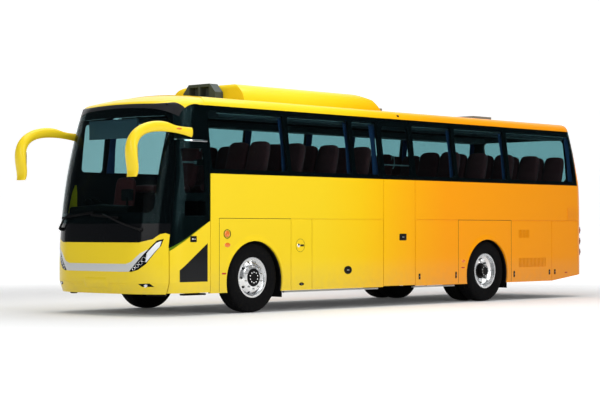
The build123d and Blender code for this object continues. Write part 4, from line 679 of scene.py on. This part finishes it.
def blade(side, u, v, out):
    """Skin point at (u, v) of the lamp: straight between its edge polylines, then laid on the nose."""
    knots = np.linspace(0, 1, len(INNER))
    u, v = np.broadcast_arrays(u, v)
    edges = [np.stack([np.interp(u, knots, edge[:, 0]), np.interp(u, knots, edge[:, 1])], axis=-1)
             for edge in (INNER, OUTER)]
    flat = edges[0] * (1 - v[..., None]) + edges[1] * v[..., None]
    return nose_skin(side * flat[..., 0], flat[..., 1], out)


def blade_patch(side, u_range, v_range, out, rows=24, columns=8):
    """A cushion-shaped patch that stands proud in its middle and dips under the skin along its rim."""
    s, t = np.meshgrid(np.linspace(0, 1, rows), np.linspace(0, 1, columns), indexing="ij")
    rise = out * (1 - np.abs(2 * s - 1) ** 8) * (1 - np.abs(2 * t - 1) ** 4) - 0.001
    u, v = u_range[0] + s * (u_range[1] - u_range[0]), v_range[0] + t * (v_range[1] - v_range[0])
    return quads(blade(side, u, v, 0.0) + (blade(side, u, v, 1.0) - blade(side, u, v, 0.0)) * rise[..., None])


day_lamps, cells, rings = [], [], []
for side in (1, -1):
    day_lamps.append(blade_patch(side, (0.47, 0.95), (0.16, 0.92), 0.006))
    for u in (0.12, 0.22, 0.32, 0.42):
        centre = blade(side, np.array(u), np.array(0.5), 0.001)
        out = blade(side, np.array(u), np.array(0.5), 1.001) - centre
        across = unit(np.cross((0, 0, 1.0), out))
        size = 0.016 + 0.028 * u
        cells += pads(centre, across, np.cross(out, across), (size, size), 0.006, power=2.0)
        rings.append(tube(ring_points(centre, size * 1.15, across, np.cross(out, across),
                                      np.linspace(0, 2 * pi, 25)), 0.0035, out, sides=8))
piece("day_lamps", day_lamps, lens_white, slot="lamp_glass")
piece("lamp_cells", cells, lamp_cover, slot="lamp_glass")
piece("lamp_rings", rings, chrome, slot="polished_rim")

# %% [markdown]
# ## Wipers
# Two long wipers rest on the windscreen's foot. An arm is a thin tapering bar from its pivot to the blade's middle,
# and a blade is a flat strip; both follow the nose's skin a little way out.

# %% Wipers
def along_nose(points, out, steps=24):
    """Skin points along a polyline of (x, z), out in front of the glass."""
    points = np.asarray(points, float)
    t = np.linspace(0, len(points) - 1, steps)
    knots = np.arange(len(points))
    return nose_skin(np.interp(t, knots, points[:, 0]), np.interp(t, knots, points[:, 1]), out)


arms, strips = [], []
for pivot, elbow, tip, start, end in (((0.86, 1.23), (0.50, 1.34), (0.16, 1.455), (0.47, 1.40), (-0.10, 1.44)),
                                      ((-0.90, 1.24), (-0.78, 1.36), (-0.62, 1.47), (-0.86, 1.40), (-0.06, 1.475))):
    arms.append(tube(along_nose([pivot, elbow, tip], 0.045), np.linspace(0.016, 0.008, 24), sides=8, power=4))
    arms += pads(nose_skin(pivot[0], pivot[1], 0.01), (1, 0, 0), (0, 0, 1), (0.028, 0.028), 0.05, power=2)
    strips.append(tube(along_nose([start, end], 0.028), ((0.010, 0.016),), sides=8, power=4))
piece("wiper_arms", arms, moulding, slot="moulded_black")
piece("wiper_blades", strips, rubber, slot="moulded_black")

# %% [markdown]
# ## Raised panels on the skin
# Plates, lamps and latches follow the curved skin. A cover is a patch of the skin lifted by a cushion height that
# falls to zero at its rim, so it always closes down on the body.

# %% Covers
def cover(surface, a, b, rise, power=10.0, rows=14, columns=14, round_form=False):
    """surface(u, v, out) lifted by rise x (1 - |2s-1|^power)(1 - |2t-1|^power) for s, t from 0 to 1. A round form
    bends the grid to a disc with u = mid + half x cos(angle) x radius."""
    s, t = np.meshgrid(np.linspace(0, 1, rows), np.linspace(0, 1, columns), indexing="ij")
    if round_form:
        angle, radius = 2 * pi * s, 1 - t
        u = (a[0] + a[1]) / 2 + (a[1] - a[0]) / 2 * radius * np.cos(angle)
        v = (b[0] + b[1]) / 2 + (b[1] - b[0]) / 2 * radius * np.sin(angle)
        lift = rise * np.sqrt(np.maximum(0, 1 - radius ** power)) - 0.001
    else:
        u, v = a[0] + s * (a[1] - a[0]), b[0] + t * (b[1] - b[0])
        lift = rise * (1 - np.abs(2 * s - 1) ** power) * (1 - np.abs(2 * t - 1) ** power) - 0.001
    base, out = surface(u, v, 0.0), surface(u, v, 1.0)
    return quads(base + (out - base) * lift[..., None])


def left_skin(y, z, out=0.0):
    return side_skin(y, z, out, 1.0)


def right_skin(y, z, out=0.0):
    return side_skin(y, z, out, -1.0)


def tail_skin(x, z, out=0.0):
    """The tail wall: upright to the kink, then raked forward on a parabola."""
    x, z = np.broadcast_arrays(np.asarray(x, float), np.asarray(z, float))
    return np.stack([x, TAIL - np.maximum(0, z - TAIL_KINK) ** 2 / TAIL_BEND + out, z], axis=-1)


SIDES = (("left", left_skin, 1.0), ("right", right_skin, -1.0))


def on_side(rows, finish, name, slot, rise=0.008, **settings):
    """Covers for a table of (body, station, z, half length, half height, round): one piece for each body."""
    for label, skin, side in SIDES:
        bodies = {}
        for where, station, z, half_long, half_high, round_form in rows:
            where = where.split("/")[0 if side > 0 else -1]
            if where:
                bodies.setdefault(where, []).append(cover(
                    skin, (at(station) - half_long, at(station) + half_long), (z - half_high, z + half_high), rise,
                    2.0 if round_form else 8.0, 24 if round_form else 12, 6 if round_form else 8, round_form))
        for where, grids in bodies.items():
            piece(f"{name}_{where}_{label}", grids, finish, where, slot, **settings)


# %% [markdown]
# ## Lamps, reflectors and latches along the sides
# Each row gives the body that carries the piece on the left side and, after a slash, on the right, then its station,
# height and half sizes. The stations are read from the photograph; the far side repeats them where its panels allow.

# %% Side fittings
BOTH = "root/root"
on_side([(BOTH, -0.575, 1.167, 0.055, 0.050, True), (BOTH, 5.066, 0.701, 0.045, 0.024, True)], lens_amber,
        "side_lamp", "red_lamp", rise=0.014)
on_side([(BOTH, -0.569, 1.007, 0.062, 0.034, True)], lens_amber, "side_reflector", "red_lamp")
on_side([(BOTH, -0.634, 0.591, 0.052, 0.013, False), (BOTH, 5.052, 0.591, 0.046, 0.011, False),
         ("rear_flap_left/service_flap_right", 8.137, 0.454, 0.040, 0.010, False)], lens_red, "slim_reflector",
        "red_lamp", rise=0.005)
LATCH_ROWS = [("charging_flap/luggage_door_right", 1.018, 0.404, 0.058, 0.026, True),
              ("luggage_door_left/luggage_door_right", 2.093, 0.599, 0.100, 0.068, True),
              ("bay_flap_left/bay_door_right", 3.880, 0.462, 0.026, 0.050, False),
              ("bay_flap_left/bay_door_right", 4.858, 0.468, 0.022, 0.058, False),
              ("louvre_flap_left/service_flap_right", 6.528, 0.454, 0.022, 0.058, False),
              ("louvre_flap_left/service_flap_right", 7.610, 0.472, 0.024, 0.048, False),
              ("rear_flap_left/service_flap_right", 7.780, 0.472, 0.024, 0.048, False),
              ("middle_door/bay_door_right", 3.452, 1.112, 0.095, 0.058, False)]
on_side(LATCH_ROWS, moulding, "latch", "moulded_black", rise=0.006)
on_side([(w, s, z, h * 0.30, v * 0.14, False) for w, s, z, h, v, _ in LATCH_ROWS], steel, "latch_bar",
        "bare_steel", rise=0.010)

turn = np.linspace(0, 2 * pi, 41)
INLET = 0.991
circle = left_skin(at(INLET) + 0.098 * np.cos(turn), INLET + 0.098 * np.sin(turn), 0.0005)
piece("inlet_outline", [tube(circle, 0.0022, (1.0, 0.0, 0.0), sides=6)], moulding, "charging_flap", "moulded_black")
piece("inlet_shade", [cover(left_skin, (at(INLET), at(1.075)), (0.975, 1.007), 0.004)], moulding, "charging_flap",
      "moulded_black")
piece("inlet_knob", [cover(left_skin, (at(0.925), at(0.99)), (0.960, 1.022), 0.006, 2.0, 24, 6, True)], chrome,
      "charging_flap", "polished_rim")
halo = [tube(skin(at(-0.575) + 0.068 * np.cos(turn), 1.167 + 0.062 * np.sin(turn), 0.002), 0.005, (1.0, 0.0, 0.0),
             sides=8) for _, skin, _ in SIDES]
piece("side_lamp_rims", halo, moulding, slot="moulded_black")

# %% [markdown]
# ## Seams of the fixed panels
# The panels over the wheels are fixed, so nothing opens there, but their joints show as thin dark lines.

# %% Seams
seams = []
for label, skin, side in SIDES:
    for a, b in ((-0.736, 0.784), (4.925, 6.442)):
        seams.append(tube(skin(np.linspace(at(a), at(b), 12), np.full(12, WAIST), 0.0), ((0.0035, 0.0010),),
                          (side, 0, 0), 8, 6.0))
    for station in (-0.736, 4.925, 6.442):
        seams.append(tube(skin(np.full(12, at(station)), np.linspace(0.33, WAIST, 12), 0.0), ((0.0035, 0.0010),),
                          (side, 0, 0), 8, 6.0))
piece("panel_seams", seams, moulding, slot="moulded_black")

# %% [markdown]
# ## Grilles
# Air grilles are rows of level blades. A blade is a flat tube, and each grille's place is given in its own call.

# %% Grilles
def blades(skin, a, b, count, out=0.004, thick=(0.004, 0.010)):
    """count level blades between two stations, spread over the height b."""
    grids = []
    for z in np.linspace(b[0], b[1], count):
        line = skin(np.linspace(a[0], a[1], 12), np.full(12, z), out)
        grids.append(tube(line, (thick,), sides=6, power=3.0))
    return grids


grilles = blades(left_skin, (at(8.175), at(8.467)), (1.435, 1.625), 9)
grilles += blades(right_skin, (at(8.175), at(8.467)), (1.435, 1.625), 9)
piece("wall_grilles", grilles, wall_paint, slot="yellow_paint")
piece("hatch_grille", blades(tail_skin, (-0.62, 0.62), (0.68, 0.98), 11), moulding, "rear_hatch", "moulded_black")
piece("service_grille", blades(right_skin, (at(6.70), at(8.30)), (0.60, 1.20), 22), moulding,
      "service_flap_right", "moulded_black")

# %% [markdown]
# ## The front's small forms
# The bumper carries a raised field for the number plate, with a crease each side. Fog lamps are round lenses in their
# dark corner pockets. A step plate and two skids show under the skirt.

# %% Front forms
field = cover(nose_skin, (-0.25, 0.25), (0.385, 0.545), 0.010, 14.0, 22, 10)
creases = [tube(along_nose([(side * 0.29, 0.452), (side * 0.60, 0.447)], 0.0), 0.005, sides=8) for side in (1, -1)]
piece("plate_field", [field] + creases, nose_paint, slot="yellow_paint")
fogs, fog_rims = [], []
for side in (1, -1):
    centre = nose_skin(side * 0.93, 0.438, 0.002)
    out = nose_skin(side * 0.93, 0.438, 1.002) - centre
    across = unit(np.cross((0, 0, 1.0), out))
    fogs += pads(centre, across, np.cross(out, across), (0.021, 0.021), 0.006, power=2.0)
    fog_rims.append(tube(ring_points(centre, 0.025, across, np.cross(out, across), turn), 0.003, out, sides=8))
piece("fog_lenses", fogs, lens_white, slot="lamp_glass")
piece("fog_rims", fog_rims, chrome, slot="polished_rim")
skids = [tube([(side * 0.80, at(-1.72), 0.300), (side * 1.02, at(-1.55), 0.296)], ((0.05, 0.016),), sides=8, power=6)
         for side in (1, -1)]
skids.append(tube([(1.16, at(-1.36), 0.302), (1.16, at(-0.95), 0.302)], ((0.06, 0.014),), sides=8, power=6))
piece("skid_plates", skids, moulding, slot="moulded_black")
rails = [tube([(side * 1.19, at(a), 0.291), (side * 1.19, at(b), 0.291)], ((0.022, 0.013),), sides=8, power=6)
         for side, a, b in ((1, 0.70, 2.90), (1, 3.80, 4.90), (-1, 0.70, 4.90))]
piece("skirt_rails", rails, steel, slot="bare_steel")

# %% [markdown]
# ## Roof lamps and door trims
# Small black marker lamps sit over the windscreen, and one on each edge of the roof. A bright rail runs along the
# head of the entry door, and its handle is a black square with a bright bar.

# %% Roof lamps and door trims
domes = pads([(-0.034, at(-1.56), 2.992), (0.913, at(-1.435), 3.026), (-0.913, at(-1.435), 3.026)], (1, 0, 0),
             (0, 0.75, 0.66), (0.032, 0.024), 0.016, power=2.0)
for side in (1, -1):
    domes += pads([(side * 1.135, at(3.49), 3.088)], (0, side, 0), (-side * 0.4, 0, 0.92), (0.03, 0.02), 0.014,
                  power=2.0)
piece("roof_markers", domes, moulding, slot="moulded_black")
run = np.linspace(at(-1.44), at(-0.93), 16)
piece("door_head_rail", [tube(left_skin(run, np.full(16, 2.505), 0.003), ((0.007, 0.012),), sides=8, power=4)],
      chrome, "entry_door", "silver_paint")
piece("entry_handle", [cover(left_skin, (at(-1.318), at(-1.186)), (1.05, 1.14), 0.010, 8.0)], moulding, "entry_door",
      "moulded_black")
piece("entry_handle_bar", [cover(left_skin, (at(-1.30), at(-1.20)), (1.085, 1.105), 0.018, 4.0)], chrome,
      "entry_door", "polished_rim")
bar_x = HALF - (2.28 - BELT) * LEAN - 0.052
piece("middle_door_bar", [tube([(bar_x, at(2.93), 2.28), (bar_x, at(3.73), 2.28)], 0.011, sides=10)], steel,
      "middle_door", "bare_steel")
glass_plates = pads([(side * 1.225, at(-2.388) + 0.050, 2.21) for side in (1, -1)], (-1, 0, 0), (0, 0, 1),
                    (0.080, 0.20), 0.012, power=5.0)
piece("mirror_glass", glass_plates, chrome, slot="polished_rim")
piece("mirror_arm_lamps", pads([(1.262, at(-1.52), 2.662), (-1.262, at(-1.52), 2.662)], [(0, 1, 0), (0, -1, 0)],
                               (0, 0, 1), (0.05, 0.012), 0.005, power=3.0), lens_amber, slot="red_lamp")

# %% [markdown]
# ## The tail
# The photograph doesn't show the tail, so it follows the type: three round lenses in each cluster, high markers,
# reflectors in the bumper and a blank plate.

# %% Tail
lenses, ambers, whites, bezels = [], [], [], []
for side in (1, -1):
    for z, group in ((1.22, ambers), (1.02, lenses), (0.82, whites)):
        group.append(cover(tail_skin, (side * 1.12 - 0.055, side * 1.12 + 0.055), (z - 0.075, z + 0.075), 0.018, 2.0,
                           28, 7, True))
        bezels.append(tube(tail_skin(side * 1.12 + 0.060 * np.cos(turn), z + 0.080 * np.sin(turn), 0.001), 0.005,
                           (0.0, 1.0, 0.0), sides=8))
    lenses.append(cover(tail_skin, (side * 0.95 - 0.06, side * 0.95 + 0.06), (0.47, 0.51), 0.006))
    lenses.append(cover(tail_skin, (side * 0.75 - 0.04, side * 0.75 + 0.04), (2.975, 3.0), 0.010))
piece("tail_lenses", lenses, lens_red, slot="red_lamp")
piece("tail_indicators", ambers, lens_amber, slot="red_lamp")
piece("tail_reversing", whites, lens_white, slot="lamp_glass")
piece("tail_bezels", bezels, chrome, slot="polished_rim")
piece("rear_blank_plate", [cover(tail_skin, (-0.23, 0.23), (0.443, 0.553), 0.008, 20.0)], lens_white,
      slot="silver_paint")

# %% [markdown]
# ## Seats
# Each seat is two cushions. A cushion is a soft cross-section carried along a bent path: the section is a
# superellipse, its size falls to nothing at both ends, and sewn channels are narrow dips along and across it. Seats
# like these are glued foam, so their shape comes from this formula and wasn't simulated.

# %% Seats
seat_cloth = finish_of("seat_cloth", (0.09, 0.008, 0.010), 0.85, Sheen_Weight=0.08)
weave = node(seat_cloth, "TexChecker", place_of(seat_cloth)[0], (0.10, 0.008, 0.010, 1.0), (0.06, 0.006, 0.008, 1.0),
             400.0)
colour_from(seat_cloth, blended(seat_cloth, between(seat_cloth, grain(seat_cloth, 0.03, 2.0), 0.35, 0.7),
                                weave.outputs[0], (0.12, 0.012, 0.014)))
relief(seat_cloth, grain(seat_cloth, 0.0012, 1.0), 0.0006, 0.7)


def cushion(path, half_width, half_thick, seams, rows=22, sides=20, power=3.6):
    """Rings at cosine-spaced places s on the path. Ring size is (1 - |2s-1|^5)^(1/5); thickness is cut by
    0.16 exp(-((s - seam)/0.03)^2) at each seam across, and by 0.10 at two seams along the face."""
    s = (1 - np.cos(np.linspace(0, pi, rows))) / 2
    knots = np.linspace(0, 1, len(path))
    line = np.stack([np.interp(s, knots, np.asarray(path)[:, i]) for i in range(3)], axis=-1)
    along = unit(np.gradient(line, axis=0))
    across = np.broadcast_to((1.0, 0.0, 0.0), line.shape)
    up = np.cross(across, along)
    size = np.maximum(1 - np.abs(2 * s - 1) ** 5, 0) ** (1 / 5)
    c, sn = superellipse(sides, power)
    dip = 1 - 0.16 * sum(np.exp(-((s - seam) / 0.03) ** 2) for seam in seams)
    rib = 1 - 0.10 * sum(np.exp(-((c - place) / 0.10) ** 2) for place in (-0.62, 0.62))
    points = (line[:, None] + across[:, None] * (half_width * size[:, None] * c)[..., None]
              + up[:, None] * (half_thick * (size * dip)[:, None] * sn * rib)[..., None])
    return quads(points, ring=True)


FLOOR, ROWS, PITCH, FIRST = 1.4356, 11, 0.780, -0.250
SEAT_X, SEAT_DEPTH, BACK_GAP, RECLINE = (0.52, 0.96), 0.47, 0.065, 0.17


def seat(x, y, floor, depth=SEAT_DEPTH, recline=RECLINE):
    """Cushion and back of one seat whose front edge is at y."""
    rear = y + depth
    return [cushion([(x, y + 0.005, floor + 0.435), (x, rear + 0.02, floor + 0.425)], 0.212, 0.066, (0.35, 0.68)),
            cushion([(x, rear + 0.045, floor + 0.42), (x, rear + 0.06 + recline * 0.55, floor + 0.80),
                     (x, rear + BACK_GAP + recline, floor + 1.125)], 0.208, 0.060, (0.30, 0.52, 0.76), rows=26)]


places = [(side * x, at(FIRST + row * PITCH)) for row in range(ROWS) for side in (1, -1) for x in SEAT_X
          if not (side > 0 and 2.954 - PITCH < FIRST + row * PITCH < 3.769)]
cushions = [grid for x, y in places for grid in seat(x, y, FLOOR)]
cushions += seat(-0.73, at(-1.30), 0.90, 0.40, 0.09)
seats = piece("seats", cushions, seat_cloth, slot="seat_cloth", crease=60)
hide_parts("passenger_seats")
feet, loops = [], []
for x, y in places:
    feet.append(tube([(x, y + 0.24, FLOOR), (x, y + 0.24, FLOOR + 0.375)], ((0.14, 0.10),), (0, 1, 0), 8, 6.0))
    if abs(x) < 0.7:
        inner = x - np.sign(x) * 0.19
        top = y + SEAT_DEPTH + BACK_GAP + RECLINE
        loop = np.linspace(0, 2 * pi, 17)
        loops.append(tube(np.stack([inner + 0 * loop, top + 0.042 * np.cos(loop) - 0.005,
                                    FLOOR + 0.985 + 0.110 * np.sin(loop)], axis=-1), 0.010, (1, 0, 0), 8))
piece("seat_feet", feet, moulding, slot="moulded_black")
piece("seat_grips", loops, grip_grey, slot="grey_plastic")
print(len(places) + 1, "seats")

# %% [markdown]
# ## Curtains
# A gathered curtain hangs at each window post. Across, it runs in a sine whose length is longer than its width; that
# ratio is how much it was gathered.

# %% Curtains
curtain_blue = finish_of("curtain_blue", (0.02, 0.05, 0.16), 0.9, Sheen_Weight=0.3)
colour_from(curtain_blue, blended(curtain_blue, grain(curtain_blue, 0.02, 2.0), (0.015, 0.04, 0.13),
                                  (0.035, 0.075, 0.21)))
POSTS = {1.0: (-0.86, 0.770, 2.265, 2.89, 3.83, 4.905, 6.400, 8.44), -1.0: (-0.69, 0.770, 2.265, 3.773, 4.905, 6.400,
                                                                          8.44)}


def curtain(side, y, top=2.93, bottom=2.10, half=0.075, folds=5):
    """x follows the leaning wall, 95 mm in, plus a sine of 14 mm; y narrows a little at the waist."""
    s, t = np.meshgrid(np.linspace(0, 1, 61), np.linspace(0, 1, 14), indexing="ij")
    z = top + (bottom - top) * t
    width = half * (1 - 0.25 * np.sin(pi * t) ** 2)
    wall = HALF - np.maximum(0, z - BELT) * LEAN - 0.095
    x = wall + 0.014 * np.sin(2 * pi * folds * s) * (0.6 + 0.4 * t)
    return np.stack([side * x, y + width * (2 * s - 1), z], axis=-1)


sheets = [curtain(side, at(station)) for side, stations in POSTS.items() for station in stations]
curtains = piece("curtains", [quads(sheet) for sheet in sheets], curtain_blue, slot="seat_cloth", crease=80)
rails = [tube([(side * 1.078, at(-0.60), 2.938), (side * 1.078, at(8.45), 2.938)], ((0.016, 0.010),), sides=8)
         for side in (1, -1)]
piece("curtain_rails", rails, steel, slot="bare_steel")

# %% [markdown]
# ## Luggage racks and the driver's place
# A rack runs along each side over the windows, with dark oblong vents in its underside. In front are the blank
# destination box, the instrument cowl, a screen and the steering wheel.

# %% Racks and driver's place
racks, vents = [], []
for side in (1, -1):
    racks.append(tube([(side * 0.90, at(-0.55), 2.93), (side * 0.90, at(8.35), 2.93)], ((0.175, 0.055),), sides=20,
                      power=6))
    stations = np.arange(-0.45, 8.2, 0.195)
    vents += pads(np.stack([np.full(len(stations), side * 0.96), at(stations), np.full(len(stations), 2.8755)],
                           axis=-1), (0, 1, 0), (1, 0, 0), (0.062, 0.022), 0.003, power=3.0, rings=2, sides=12)
rack_grey = finish_of("rack_grey", (0.035, 0.037, 0.042), 0.6)
relief(rack_grey, grain(rack_grey, 0.0015, 2.0), 0.0002, 0.5)
piece("luggage_racks", racks, rack_grey, slot="grey_plastic")
piece("rack_vents", vents, moulding, slot="moulded_black")
sign = tube([(-0.61, at(-1.575), 2.70), (0.45, at(-1.575), 2.70)], ((0.02, 0.14),), (0, 0, 1), 12, 9.0)
piece("destination_box", [sign], finish_of("blank_sign", (0.055, 0.085, 0.11), 0.4), slot="moulded_black")
cowl = [tube([(-0.96, at(-1.58), 1.50), (-0.30, at(-1.60), 1.53), (0.36, at(-1.60), 1.50)], ((0.10, 0.075),),
             (0, 0, 1), 16, 3.0)]
cowl += pads([(0.20, at(-1.545), 1.735)], (-1, 0, 0), (0, 0, 1), (0.125, 0.085), 0.012, 0.02, 8.0)
cowl.append(tube([(0.20, at(-1.56), 1.50), (0.20, at(-1.56), 1.70)], 0.018, (0, 1, 0), 10))
tilt = np.array([0.0, 0.5, 0.866])
centre = np.array([-0.73, at(-1.305), 1.60])
WHEEL_RADIUS, RIGHTWARD = 0.225, np.array([1.0, 0, 0])
cowl.append(tube(ring_points(centre, WHEEL_RADIUS, RIGHTWARD, np.cross(tilt, RIGHTWARD), turn), 0.014, tilt, 10))
SPOKES = np.array([0.2, pi - 0.2, 1.5 * pi])
for end in ring_points(centre, WHEEL_RADIUS, RIGHTWARD, np.cross(tilt, RIGHTWARD), SPOKES):
    cowl.append(tube([centre - 0.02 * tilt, end], ((0.020, 0.008),), tilt, 8, 4.0))
cowl.append(tube([centre - 0.30 * tilt, centre], 0.035, (1, 0, 0), 12))
piece("driver_controls", cowl, moulding, slot="moulded_black")

# %% [markdown]
# ## Under the floor
# Air tanks with domed ends hang between the rails, and four pipes run lengthwise over them. A tie rod lies behind the
# front axle; it is fixed to the body and doesn't follow the steering. All show from below and under the skirt.

# %% Underside
TANK = ((-0.33, 0.0), (-0.33, 0.05), (-0.315, 0.10), (-0.28, 0.125), (0.28, 0.125), (0.315, 0.10), (0.33, 0.05),
        (0.33, 0.0))
tanks = [turned(TANK, (x, at(s), 0.40), sides=28, axis=1) for x, s in ((-0.22, 1.6), (0.22, 1.6), (0.0, 4.3))]
tanks += [tube([(x, at(1.1), 0.47), (x, at(4.8), 0.47)], 0.012, sides=8) for x in (-0.12, -0.06, 0.06, 0.12)]
tanks.append(tube([(-0.80, FRONT_AXLE + 0.16, 0.42), (0.80, FRONT_AXLE + 0.16, 0.42)], 0.020, sides=12))
piece("air_tanks", tanks, chassis_black, slot="chassis_black")
